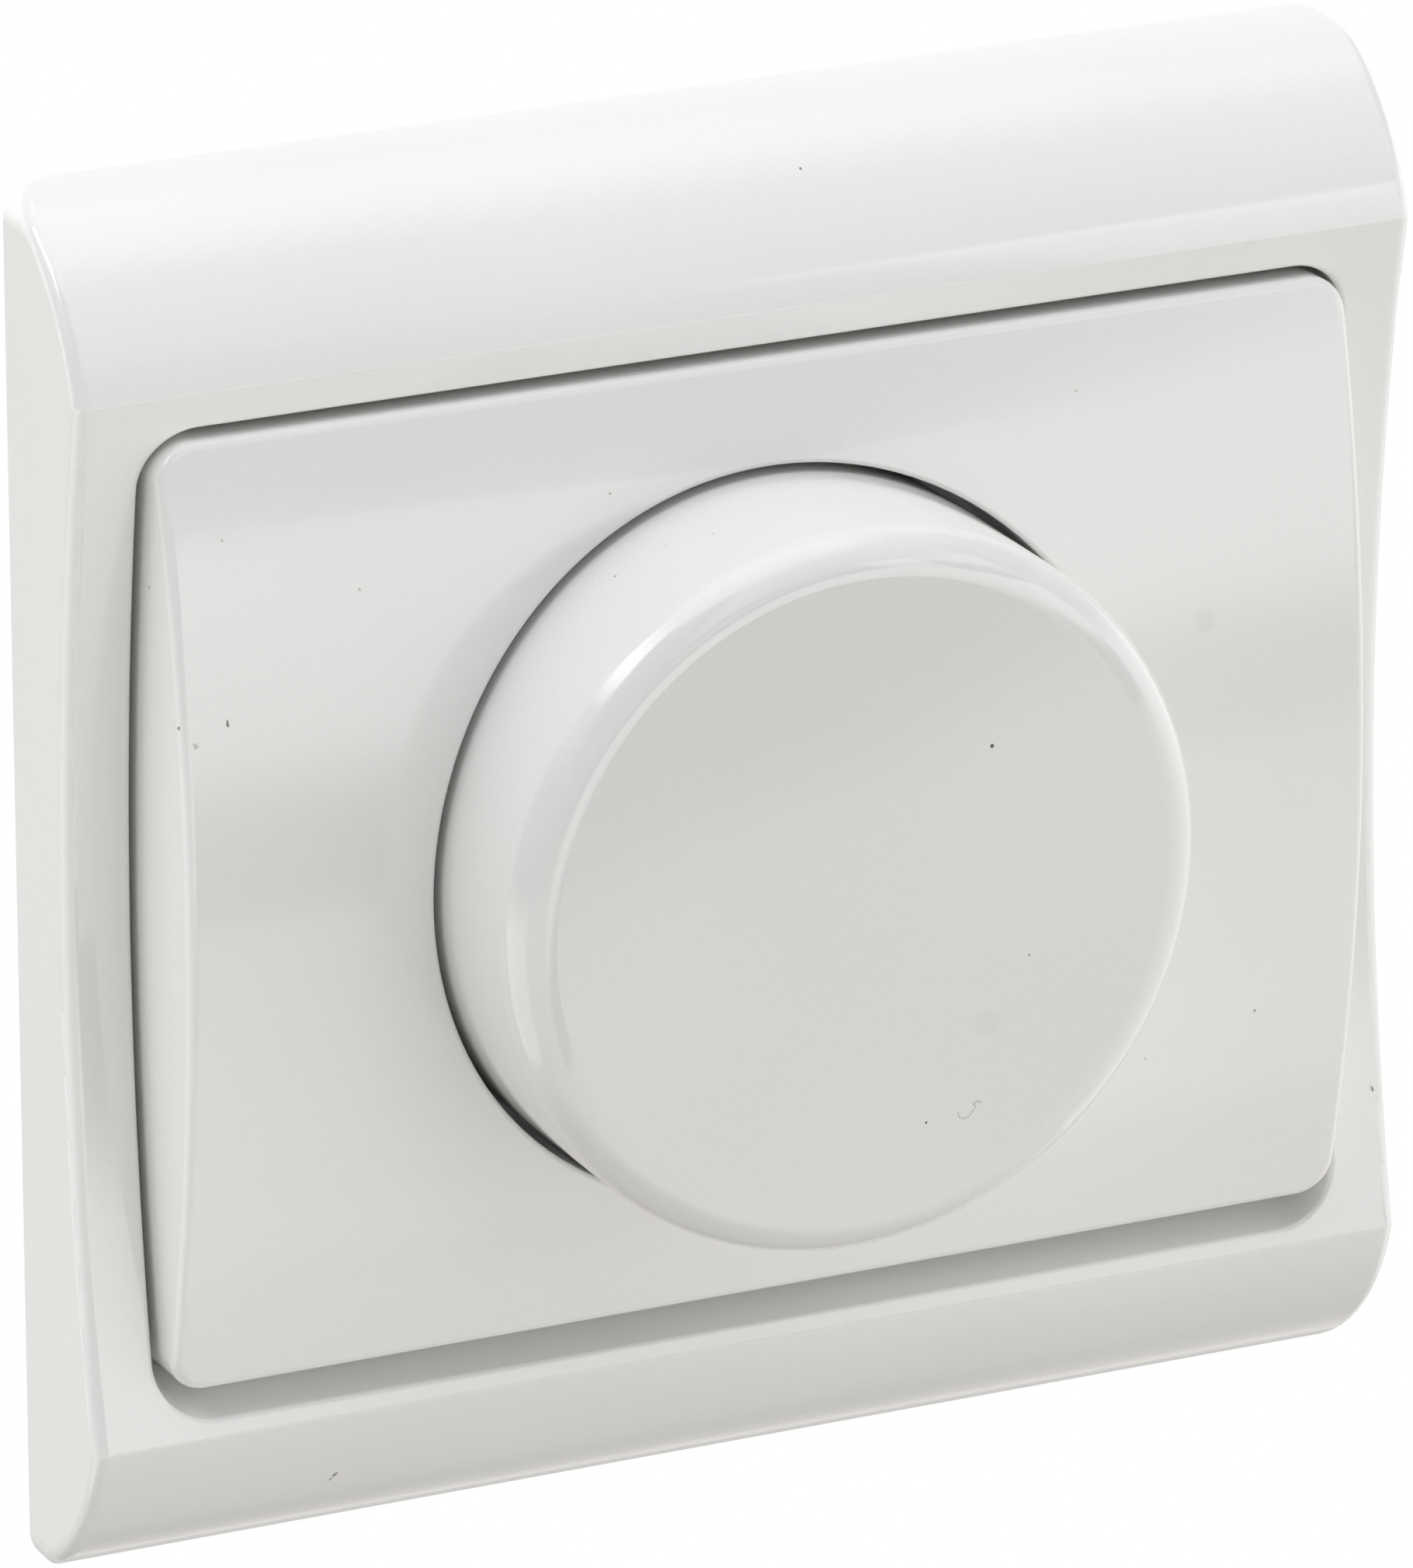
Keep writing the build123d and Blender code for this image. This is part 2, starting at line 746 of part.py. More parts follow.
# Support plate
rib_positions = ((0, support_rib_offset), (0, -support_rib_offset))
with BuildPart() as support_plate:
    with BuildSketch(at_depth(0)):
        RectangleRounded(support_size, support_size, support_corner)
        RectangleRounded(
            collar_size + 2 * collar_gap,
            collar_size + 2 * collar_gap,
            collar_corner + collar_gap,
            mode=Mode.SUBTRACT,
        )
        with Locations((-slot_spacing / 2, 0), (slot_spacing / 2, 0)):
            SlotOverall(slot_length, slot_width, mode=Mode.SUBTRACT)
        with GridLocations(2 * boss_offset, 2 * boss_offset, 2, 2):
            Circle(support_screw_hole, mode=Mode.SUBTRACT)
    extrude(amount=support_thickness)
    with BuildSketch(at_depth(support_thickness)):
        with Locations(*rib_positions):
            RectangleRounded(support_rib_length, support_rib_width, support_rib_width / 2 - support_round)
    extrude(amount=support_rib_height)
    with BuildSketch(at_depth(0)):
        with Locations(*rib_positions):
            Rectangle(support_rib_length - 2 * support_rib_width, support_rib_width / 2)
    extrude(amount=support_rib_height, mode=Mode.SUBTRACT)
finish(support_plate.part, "support_plate")

# Base housing: box behind the wall, collar through the support plate
inner_size = housing_size - 2 * housing_wall
inner_corner = housing_corner - housing_wall
inner_front = -housing_front_wall
collar_inner = collar_size - 2 * housing_wall
collar_inner_depth = plate_rear - housing_front_wall
clamp_inner_front = clamp_open_depth + clamp_wire_space
wire_middle = clamp_inner_front - wire_hole_height / 2
pad_reach = inner_size / 2 + housing_wall / 2 - pad_width / 2
terminal_positions = (-terminal_pitch, 0.0, terminal_pitch)
terminal_names = ("left", "middle", "right")
box_bottom = -housing_half
with BuildPart() as base_housing:
    with BuildSketch(at_depth(housing_rear_depth)):
        RectangleRounded(housing_size, housing_size, housing_corner)
    extrude(amount=-housing_rear_depth)
    with BuildSketch(at_depth(0)):
        RectangleRounded(collar_size, collar_size, collar_corner)
    extrude(amount=plate_rear)
    with BuildSketch(at_depth(housing_rear_depth)):
        RectangleRounded(inner_size, inner_size, inner_corner)
    extrude(amount=inner_front - housing_rear_depth, mode=Mode.SUBTRACT)
    with BuildSketch(at_depth(inner_front)):
        RectangleRounded(collar_inner, collar_inner, collar_corner - housing_wall)
    extrude(amount=collar_inner_depth - inner_front, mode=Mode.SUBTRACT)
    with BuildSketch(at_depth(housing_rear_depth)):
        with GridLocations(2 * boss_offset, 2 * boss_offset, 2, 2):
            Circle(boss_radius)
    extrude(amount=-housing_rear_depth)
    with BuildSketch(at_depth(partition_rear_depth)):
        with Locations((-partition_offset, 0), (partition_offset, 0)):
            with Locations((0, box_bottom + housing_wall / 2)):
                Rectangle(
                    partition_width,
                    terminal_height + partition_rise - box_bottom - housing_wall / 2,
                    align=(Align.CENTER, Align.MIN),
                )
    extrude(amount=inner_front + housing_front_wall / 2 - partition_rear_depth)
    with BuildSketch(at_depth(board_front_depth)):
        with Locations((-pad_reach, -pad_offset), (-pad_reach, pad_offset)):
            Rectangle(pad_width, pad_height)
        with Locations((pad_reach, -pad_offset), (pad_reach, pad_offset)):
            Rectangle(pad_width, pad_height)
    extrude(amount=inner_front + housing_front_wall / 2 - board_front_depth)
    with BuildSketch(at_depth(plate_rear)):
        Circle(neck_radius + neck_hole_gap)
    extrude(amount=-housing_front_wall, mode=Mode.SUBTRACT)
    with BuildSketch(at_depth(0)):
        with GridLocations(2 * boss_offset, 2 * boss_offset, 2, 2):
            Circle(small_screw_radius + screw_hole_gap)
    extrude(amount=support_screw_depth - screw_hole_end, mode=Mode.SUBTRACT)
    with BuildSketch(at_depth(housing_rear_depth)):
        with GridLocations(2 * boss_offset, 2 * boss_offset, 2, 2):
            Circle(small_screw_radius + screw_hole_gap)
    extrude(amount=cover_screw_depth + screw_hole_end - housing_rear_depth, mode=Mode.SUBTRACT)
    with BuildSketch(Plane.XY.offset(box_bottom)):
        with Locations(*[(x, -wire_middle) for x in terminal_positions]):
            RectangleRounded(wire_hole_width, wire_hole_height, wire_hole_round)
    extrude(amount=housing_wall, mode=Mode.SUBTRACT)
finish(base_housing.part, "base_housing")

# Rear cover
cover_rear = housing_rear_depth - cover_thickness
lip_reach = inner_size / 2 - cover_lip_gap - cover_lip_width / 2
terminal_places = [(x, terminal_height) for x in terminal_positions]
shelf_front = partition_rear_depth
board_rear = board_front_depth - board_thickness
with BuildPart() as rear_cover:
    with BuildSketch(at_depth(cover_rear)):
        RectangleRounded(housing_size, housing_size, housing_corner)
    extrude(amount=cover_thickness)
    fillet(rear_cover.faces().sort_by(Axis.Y)[-1].edges(), cover_round)
    with BuildSketch(at_depth(housing_rear_depth)):
        with Locations((0, lip_reach)):
            Rectangle(cover_lip_length, cover_lip_width)
        with Locations((-lip_reach, 0), (lip_reach, 0)):
            Rectangle(cover_lip_width, cover_lip_length)
    extrude(amount=cover_lip_height)
    with BuildSketch(at_depth(housing_rear_depth)):
        with Locations((0, lip_reach)):
            Rectangle(cover_leg_width, cover_leg_thickness)
        with Locations((-lip_reach, -pad_offset), (lip_reach, -pad_offset)):
            Rectangle(cover_leg_thickness, cover_leg_width)
    extrude(amount=board_rear - housing_rear_depth)
    with BuildSketch(at_depth(housing_rear_depth)):
        with Locations((0, terminal_height)):
            Rectangle(cover_boss_width, cover_boss_height)
    extrude(amount=shelf_front - housing_rear_depth)
    with BuildSketch(at_depth(cover_rear)):
        with Locations(*terminal_places):
            Circle(terminal_head_radius + terminal_head_gap)
    extrude(amount=head_shelf_depth - cover_rear, mode=Mode.SUBTRACT)
    with BuildSketch(at_depth(cover_rear)):
        with Locations(*terminal_places):
            Circle(terminal_shank_radius + terminal_shank_gap)
    extrude(amount=shelf_front - cover_rear, mode=Mode.SUBTRACT)
    with BuildSketch(at_depth(cover_rear)):
        with GridLocations(2 * boss_offset, 2 * boss_offset, 2, 2):
            Circle(small_head_radius + cover_head_gap)
    extrude(amount=small_head_height, mode=Mode.SUBTRACT)
    with BuildSketch(at_depth(cover_rear)):
        with GridLocations(2 * boss_offset, 2 * boss_offset, 2, 2):
            Circle(small_screw_radius + screw_hole_gap)
    extrude(amount=cover_thickness, mode=Mode.SUBTRACT)
    with BuildSketch(at_depth(cover_rear)):
        with Locations((0, vent_center)):
            with GridLocations(1, vent_pitch, 1, vent_count):
                SlotOverall(vent_length, vent_width)
    extrude(amount=cover_thickness, mode=Mode.SUBTRACT)
finish(rear_cover.part, "rear_cover")

# Small screws, four in each group
with BuildPart() as support_screws:
    with BuildSketch(at_depth(support_thickness)):
        with GridLocations(2 * boss_offset, 2 * boss_offset, 2, 2):
            Circle(small_head_radius)
    extrude(amount=small_head_height)
    with BuildSketch(at_depth(support_thickness + small_head_height)):
        with GridLocations(2 * boss_offset, 2 * boss_offset, 2, 2):
            Rectangle(2 * small_head_radius, screw_slot_width)
    extrude(amount=-screw_slot_depth, mode=Mode.SUBTRACT)
    with BuildSketch(at_depth(support_thickness)):
        with GridLocations(2 * boss_offset, 2 * boss_offset, 2, 2):
            Circle(small_screw_radius)
    extrude(amount=support_screw_depth - support_thickness)
finish(support_screws.part, "support_screws")

cover_head_depth = cover_rear + small_head_height
with BuildPart() as cover_screws:
    with BuildSketch(at_depth(cover_rear)):
        with GridLocations(2 * boss_offset, 2 * boss_offset, 2, 2):
            Circle(small_head_radius)
    extrude(amount=small_head_height)
    with BuildSketch(at_depth(cover_rear)):
        with GridLocations(2 * boss_offset, 2 * boss_offset, 2, 2):
            Rectangle(2 * small_head_radius, screw_slot_width)
    extrude(amount=screw_slot_depth, mode=Mode.SUBTRACT)
    with BuildSketch(at_depth(cover_head_depth)):
        with GridLocations(2 * boss_offset, 2 * boss_offset, 2, 2):
            Circle(small_screw_radius)
    extrude(amount=cover_screw_depth - cover_head_depth)
finish(cover_screws.part, "cover_screws")

# Terminals: the screw turns in place and lifts the clamp
bar_rear = terminal_tip_depth + bar_gap
bar_front = bar_rear + bar_thickness
leg_height = bar_top - bar_leg_thickness / 2
clamp_middle = -(clamp_open_depth + clamp_inner_front) / 2
for x, side in zip(terminal_positions, terminal_names):
    with BuildPart() as terminal_screw:
        with BuildSketch(at_depth(terminal_head_top)):
            with Locations((x, terminal_height)):
                Circle(terminal_head_radius)
        extrude(amount=terminal_head_height)
        with BuildSketch(at_depth(terminal_head_top)):
            with Locations((x, terminal_height)):
                Rectangle(2 * terminal_head_radius, screw_slot_width)
        extrude(amount=screw_slot_depth, mode=Mode.SUBTRACT)
        with BuildSketch(at_depth(terminal_head_top + terminal_head_height)):
            with Locations((x, terminal_height)):
                Circle(terminal_shank_radius)
        extrude(amount=terminal_tip_depth - terminal_head_top - terminal_head_height)
    finish(terminal_screw.part, "terminal_screw_" + side)

    with BuildPart() as terminal_clamp:
        with BuildSketch(Plane.XY.offset(terminal_height - clamp_length / 2)):
            with Locations((x, clamp_middle)):
                RectangleRounded(clamp_width, clamp_wire_space + 2 * clamp_wall, clamp_round)
                Rectangle(clamp_width - 2 * clamp_wall, clamp_wire_space, mode=Mode.SUBTRACT)
        extrude(amount=clamp_length)
        with BuildSketch(at_depth(clamp_open_depth - clamp_wall)):
            with Locations((x, terminal_height)):
                Circle(terminal_shank_radius + terminal_thread_gap)
        extrude(amount=clamp_wall, mode=Mode.SUBTRACT)
    finish(terminal_clamp.part, "terminal_clamp_" + side)

    with BuildPart() as contact_bar:
        with BuildSketch(at_depth(bar_rear)):
            with Locations((x, (bar_bottom + bar_top) / 2)):
                Rectangle(bar_width, bar_top - bar_bottom)
        extrude(amount=bar_thickness)
        with BuildSketch(at_depth(bar_front)):
            with Locations((x, leg_height)):
                Rectangle(bar_leg_width, bar_leg_thickness)
        extrude(amount=bar_leg_depth - bar_front)
    finish(contact_bar.part, "contact_bar_" + side)

# Places on the circuit board
triac_right = triac_left + triac_tab_length
pin_x = triac_right + triac_lead_reach - triac_lead_thickness / 2
triac_pins = [(pin_x, sink_center + step * triac_lead_pitch) for step in (-1, 0, 1)]
resistor_places = ((resistor_x, resistor_z), (resistor_x, resistor_z - resistor_pitch))
resistor_half = resistor_length / 2 + resistor_lead_reach
diode_half = diode_length / 2 + resistor_lead_reach
lead_places = [
    (film_x, film_z - film_lead_pitch / 2),
    (film_x, film_z + film_lead_pitch / 2),
    (timing_x - timing_lead_pitch / 2, timing_z),
    (timing_x + timing_lead_pitch / 2, timing_z),
    (diode_x - diode_half, diode_z),
    (diode_x + diode_half, diode_z),
]
for x, z in resistor_places:
    lead_places += [(x - resistor_half, z), (x + resistor_half, z)]
lead_front = board_front_depth + lead_reach

# Circuit board
with BuildPart() as circuit_board:
    with BuildSketch(at_depth(board_rear)):
        RectangleRounded(board_size, board_size, board_corner)
        with Locations((0, board_bottom)):
            Rectangle(board_size, board_size, align=(Align.CENTER, Align.MIN), mode=Mode.INTERSECT)
        with GridLocations(2 * boss_offset, 2 * boss_offset, 2, 2):
            Circle(board_notch_radius, mode=Mode.SUBTRACT)
        Rectangle(board_cutout, board_cutout, mode=Mode.SUBTRACT)
        with Locations((-contact_leg_offset, 0), (contact_leg_offset, 0)):
            Rectangle(
                contact_thickness + 2 * pin_hole_gap, contact_width + 2 * pin_hole_gap, mode=Mode.SUBTRACT
            )
        with Locations(*[(x, leg_height) for x in terminal_positions]):
            Rectangle(
                bar_leg_width + 2 * pin_hole_gap, bar_leg_thickness + 2 * pin_hole_gap, mode=Mode.SUBTRACT
            )
        with Locations(*triac_pins):
            Rectangle(
                triac_lead_thickness + 2 * pin_hole_gap,
                triac_lead_width + 2 * pin_hole_gap,
                mode=Mode.SUBTRACT,
            )
        with Locations(*lead_places):
            Circle(lead_radius + pin_hole_gap, mode=Mode.SUBTRACT)
    extrude(amount=board_thickness)
finish(circuit_board.part, "circuit_board")

# Heat sink, triac and its screw, in front of the board
sink_rear = inner_front - sink_thickness
tab_rear = sink_rear - triac_tab_thickness
body_rear = sink_rear - triac_body_thickness
triac_hole_x = triac_left + triac_hole_inset
with BuildPart() as heat_sink:
    with BuildSketch(at_depth(sink_rear)):
        with Locations((0, sink_center)):
            RectangleRounded(sink_width, sink_height, housing_wall)
        with Locations((triac_hole_x, sink_center)):
            Circle(triac_screw_radius + screw_hole_gap, mode=Mode.SUBTRACT)
    extrude(amount=sink_thickness)
finish(heat_sink.part, "heat_sink")

lead_depth = (tab_rear + body_rear) / 2
with BuildPart() as triac:
    with BuildSketch(at_depth(tab_rear)):
        with Locations((triac_left, sink_center)):
            Rectangle(triac_tab_length, triac_width, align=(Align.MIN, Align.CENTER))
        with Locations((triac_hole_x, sink_center)):
            Circle(triac_hole_radius, mode=Mode.SUBTRACT)
    extrude(amount=triac_tab_thickness)
    with BuildSketch(at_depth(body_rear)):
        with Locations((triac_right, sink_center)):
            Rectangle(triac_body_length, triac_width, align=(Align.MAX, Align.CENTER))
    extrude(amount=triac_body_thickness)
    with BuildSketch(at_depth(lead_depth)):
        with Locations(*[(triac_right, z) for x, z in triac_pins]):
            Rectangle(triac_lead_reach, triac_lead_width, align=(Align.MIN, Align.CENTER))
    extrude(amount=triac_lead_thickness)
    with BuildSketch(at_depth(board_rear - lead_reach)):
        with Locations(*triac_pins):
            Rectangle(triac_lead_thickness, triac_lead_width)
    extrude(amount=lead_depth - board_rear + lead_reach)
finish(triac.part, "triac")

with BuildPart() as triac_screw:
    with BuildSketch(at_depth(tab_rear)):
        with Locations((triac_hole_x, sink_center)):
            Circle(triac_head_radius)
    extrude(amount=-triac_head_height)
    with BuildSketch(at_depth(tab_rear - triac_head_height)):
        with Locations((triac_hole_x, sink_center)):
            Rectangle(2 * triac_head_radius, screw_slot_width)
    extrude(amount=screw_slot_depth, mode=Mode.SUBTRACT)
    with BuildSketch(at_depth(tab_rear)):
        with Locations((triac_hole_x, sink_center)):
            Circle(triac_screw_radius)
    extrude(amount=triac_screw_end_depth - tab_rear)
finish(triac_screw.part, "triac_screw")

# Choke: drum core with its winding
choke_top = board_rear - choke_height
winding_front = board_rear - choke_flange - choke_winding_gap
winding_rear = choke_top + choke_flange + choke_winding_gap
with BuildPart() as choke_core:
    with BuildSketch(at_depth(choke_top)):
        with Locations((choke_x, choke_z)):
            Circle(choke_core_radius)
    extrude(amount=choke_height)
    for start in (choke_top, board_rear - choke_flange):
        with BuildSketch(at_depth(start)):
            with Locations((choke_x, choke_z)):
                Circle(choke_radius)
        extrude(amount=choke_flange)
finish(choke_core.part, "choke_core")

with BuildPart() as choke_winding:
    with BuildSketch(at_depth(winding_rear)):
        with Locations((choke_x, choke_z)):
            Circle(choke_winding_radius)
            Circle(choke_core_radius + choke_winding_gap, mode=Mode.SUBTRACT)
    extrude(amount=winding_front - winding_rear)
finish(choke_winding.part, "choke_winding")

# Capacitors
with BuildPart() as film_capacitor:
    with BuildSketch(at_depth(board_rear)):
        with Locations((film_x, film_z)):
            Rectangle(film_width, film_height)
    extrude(amount=-film_rise)
    fillet(film_capacitor.edges().filter_by(Axis.Y), film_round)
    fillet(film_capacitor.faces().sort_by(Axis.Y)[-1].edges(), film_round / 2)
    with BuildSketch(at_depth(board_rear)):
        with Locations((film_x, film_z)):
            with GridLocations(1, film_lead_pitch, 1, 2):
                Circle(lead_radius)
    extrude(amount=lead_front - board_rear)
finish(film_capacitor.part, "film_capacitor")

with BuildPart() as timing_capacitor:
    with BuildSketch(at_depth(board_rear)):
        with Locations((timing_x, timing_z)):
            Rectangle(timing_width, timing_height)
    extrude(amount=-timing_rise)
    fillet(timing_capacitor.edges().filter_by(Axis.Y), film_round)
    fillet(timing_capacitor.faces().sort_by(Axis.Y)[-1].edges(), film_round / 2)
    with BuildSketch(at_depth(board_rear)):
        with Locations((timing_x, timing_z)):
            with GridLocations(timing_lead_pitch, 1, 2, 1):
                Circle(lead_radius)
    extrude(amount=lead_front - board_rear)
finish(timing_capacitor.part, "timing_capacitor")

# Resistors and trigger diode, lying on the board with bent wire leads
resistor_axis = board_rear - resistor_radius - lying_gap
cap_length = (resistor_length - resistor_neck_length) / 2
with BuildPart() as resistors:
    for x, z in resistor_places:
        with BuildSketch(Plane.YZ.offset(x - resistor_length / 2)):
            with Locations((-resistor_axis, z)):
                Circle(resistor_neck_radius)
        extrude(amount=resistor_length)
        for start in (x - resistor_length / 2, x + resistor_neck_length / 2):
            with BuildSketch(Plane.YZ.offset(start)):
                with Locations((-resistor_axis, z)):
                    Circle(resistor_radius)
            extrude(amount=cap_length)
        with BuildLine(Plane.XY.offset(z)):
            resistor_lead = FilletPolyline(*lead_corners(x, resistor_half, resistor_axis), radius=lead_bend)
        with BuildSketch(Plane(origin=resistor_lead @ 0, z_dir=resistor_lead % 0)):
            Circle(lead_radius)
        sweep(path=resistor_lead)
finish(resistors.part, "resistors")

diode_axis = board_rear - diode_radius - lying_gap
with BuildPart() as trigger_diode:
    with BuildSketch(Plane.YZ.offset(diode_x - diode_length / 2)):
        with Locations((-diode_axis, diode_z)):
            Circle(diode_radius)
    extrude(amount=diode_length)
    with BuildLine(Plane.XY.offset(diode_z)):
        diode_lead = FilletPolyline(*lead_corners(diode_x, diode_half, diode_axis), radius=lead_bend)
    with BuildSketch(Plane(origin=diode_lead @ 0, z_dir=diode_lead % 0)):
        Circle(lead_radius)
    sweep(path=diode_lead)
finish(trigger_diode.part, "trigger_diode")

# Fuse and its clips
fuse_center = (-fuse_axis_depth, fuse_z)
clip_arc_inner = fuse_radius + fuse_clip_gap
clip_arc_outer = clip_arc_inner + fuse_clip_wall
with BuildPart() as fuse:
    with BuildSketch(Plane.YZ.offset(-fuse_length / 2)):
        with Locations(fuse_center):
            Circle(fuse_radius)
    extrude(amount=fuse_length)
    with BuildSketch(Plane.YZ.offset(-fuse_length / 2 + fuse_cap_length)):
        with Locations(fuse_center):
            Circle(2 * fuse_radius)
            Circle(fuse_glass_radius, mode=Mode.SUBTRACT)
    extrude(amount=fuse_length - 2 * fuse_cap_length, mode=Mode.SUBTRACT)
finish(fuse.part, "fuse")

with BuildPart() as fuse_clips:
    for offset in (-fuse_clip_offset, fuse_clip_offset):
        with BuildSketch(Plane.YZ.offset(offset - fuse_clip_width / 2)):
            with Locations(fuse_center):
                Circle(clip_arc_outer)
            with Locations((-board_rear, fuse_z)):
                Rectangle(
                    fuse_center[0] + board_rear, fuse_clip_foot, align=(Align.MIN, Align.CENTER)
                )
                Rectangle(fuse_clip_wall, 2 * clip_arc_outer, align=(Align.MIN, Align.CENTER))
            with Locations(fuse_center):
                Circle(clip_arc_inner, mode=Mode.SUBTRACT)
                Rectangle(
                    2 * clip_arc_outer, fuse_clip_mouth, align=(Align.MIN, Align.CENTER), mode=Mode.SUBTRACT
                )
        extrude(amount=fuse_clip_width)
finish(fuse_clips.part, "fuse_clips")
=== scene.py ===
"""Rotary dimmer switch: looks, coils, dust, studio light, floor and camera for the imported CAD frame."""
import math

import bpy
from mathutils import Matrix, Vector
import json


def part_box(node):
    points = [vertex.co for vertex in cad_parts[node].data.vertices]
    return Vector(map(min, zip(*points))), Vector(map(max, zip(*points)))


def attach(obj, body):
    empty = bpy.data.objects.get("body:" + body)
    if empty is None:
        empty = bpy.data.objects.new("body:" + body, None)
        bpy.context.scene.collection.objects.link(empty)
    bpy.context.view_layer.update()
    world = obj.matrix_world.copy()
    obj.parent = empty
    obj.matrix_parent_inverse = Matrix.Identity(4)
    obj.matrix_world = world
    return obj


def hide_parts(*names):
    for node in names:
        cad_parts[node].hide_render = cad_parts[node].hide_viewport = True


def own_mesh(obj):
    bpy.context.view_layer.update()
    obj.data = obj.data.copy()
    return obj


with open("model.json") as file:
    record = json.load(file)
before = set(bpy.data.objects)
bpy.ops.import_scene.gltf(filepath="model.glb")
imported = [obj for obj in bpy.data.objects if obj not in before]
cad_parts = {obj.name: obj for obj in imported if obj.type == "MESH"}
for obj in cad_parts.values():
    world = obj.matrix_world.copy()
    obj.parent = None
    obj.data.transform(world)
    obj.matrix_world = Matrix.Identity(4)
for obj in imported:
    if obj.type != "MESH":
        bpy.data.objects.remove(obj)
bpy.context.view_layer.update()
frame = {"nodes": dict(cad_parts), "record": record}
MM = 0.001

# Camera, solved from the outlines in the photo
CAMERA_AZIMUTH = math.radians(-25.16)
CAMERA_ELEVATION = math.radians(19.727)
CAMERA_ROLL = math.radians(-0.133)
CAMERA_TARGET = Vector((-0.891, -4.97, 0.957)) * MM
CAMERA_DISTANCE = 769.3 * MM
FOCAL_PIXELS = 17537.0
IMAGE_HEIGHT = 2019.0
SENSOR = 36.0
CLIP_NEAR = 0.01
CLIP_FAR = 50.0

# Ranges: a mask's, the one that a noise mostly keeps to, and that of two noises added up
FULL_RANGE = (0.0, 1.0)
NOISE_RANGE = (0.3, 0.7)
TWO_NOISES_RANGE = (0.6, 1.4)

# White plastic: tones are factors of its colour, shines are factors of its roughness, height is in metres
WHITE = (0.897, 0.892, 0.879, 1.0)
WHITE_TONES = (0.985, 1.012)
WHITE_SHINES = (0.9, 1.12)
WHITE_IOR = 1.62
WHITE_ROUGHNESS = 0.055
KNOB_ROUGHNESS = 0.04
KNOB_TONE = 0.94
KNOB_LEAN = math.radians(-0.8)
PLATE_ROUGHNESS = 0.10
SKIN_HEIGHT = 0.0000004
WAVE_SHARE = 150.0
SPECK = (0.42, 0.38, 0.33, 1.0)
DARK_DUST = (0.10, 0.09, 0.08, 1.0)
FIBRE_COLOR = (0.48, 0.46, 0.44, 1.0)
SMUDGE_TONE = 0.955

# Other looks
PLASTIC_TONES = (0.95, 1.05)
PLASTIC_SHINES = (0.92, 1.10)
METAL_TONES = (1.04, 0.86)
METAL_SHINES = (0.8, 1.3)
STAIN_RANGE = (0.35, 0.7)
STREAK_STRENGTH = 0.12
FINE_RELIEF = 0.00002
BROWN_DUST = (0.20, 0.16, 0.12, 1.0)
HOUSING_DUST = (0.25, 0.24, 0.22, 1.0)
BRASS = (0.80, 0.60, 0.28, 1.0)
BRASS_ROUGHNESS = 0.27
THREAD_PITCH = 0.75 * MM
THREAD_DEPTH = 0.25 * MM
BOARD_GREEN = (0.035, 0.17, 0.07, 1.0)
BOARD_RUNS = (0.06, 0.27, 0.11, 1.0)
BOARD_MOTTLE = (0.03, 0.12, 0.05, 1.0)
BOARD_ROUGHNESS = 0.38
RUN_EDGE = (0.10, 0.13)
RUN_STRENGTH = 0.4
RUN_HEIGHT = 0.00005
DUST_ROUGHNESS = 0.8
SPECK_CORE = 0.6
SHARE_EDGE = 0.9

# Spots in the white plastic, in mm: places from the photo with a radius each, and how much of a spot is full
KNOB_FACE = -23.8
KNOB_SMUDGES = ((7.56, KNOB_FACE, -8.41, 1.0),)
KNOB_DUST = ((7.75, KNOB_FACE, 7.95, 0.15), (3.77, KNOB_FACE, -13.75, 0.09))
PLATE_SMUDGES = ((26.28, -13.48, 9.33, 0.9),)
SMUDGE_CORE = 0.5
DUST_CORE = 0.6
FIBRE_CORE = 0.4
FIBRE_RADIUS = 0.075
FIBRE = (
    (5.75, -13.47), (5.76, -13.62), (5.84, -13.77), (6.00, -13.86), (6.18, -13.88), (6.37, -13.81),
    (6.52, -13.70), (6.64, -13.57), (6.72, -13.44), (6.83, -13.32), (6.76, -13.21), (6.71, -13.11),
    (6.79, -13.03), (6.92, -13.01), (7.03, -13.03), (7.14, -13.08),
)

# Coils
SPRING_WIRE = 0.28 * MM
SPRING_TURNS = 4
WINDING_WIRE = 0.27 * MM
WINDING_TURNS = 11.5

# Grains of dust: their mesh, how far they rise and sink as shares of their width, and how lumpy they are
GRAIN_RINGS = 6
GRAIN_SIDES = 14
GRAIN_RISE = 0.15
GRAIN_SINK = 0.3
WIDE_LUMP = 0.18
FINE_LUMP = 0.10

# Floor, in metres: what the camera sees, and what it throws back: a painted shadow in its middle, under the
# object, out to its bright rim
FLOOR_DROP = 0.90
FLOOR_SIZE = 1.8
FLOOR_SEEN = (1.0, 1.0, 1.0, 1.0)
FLOOR_PAINTED_SHADOW = (0.105, 0.10, 0.09, 1.0)
FLOOR_RIM = (0.76, 0.73, 0.67, 1.0)
FLOOR_REACH = (0.50, 0.90)
FLOOR_ROUGHNESS = 0.9

# Light: its level, the top of the scale that layers are written in, and its tints from the front to the top
SKY_LEVEL = 0.985
SKY_TOP = 5.0
FRONT_TINT = (1.008 * SKY_LEVEL, SKY_LEVEL, 0.986 * SKY_LEVEL, 1.0)
TOP_TINT = (0.992 * SKY_LEVEL, SKY_LEVEL, 1.012 * SKY_LEVEL, 1.0)
TINT_EDGE = 15.0
TINT_SOFTNESS = 35.0
WHITE_BACK = (1.0, 1.0, 1.0, 1.0)

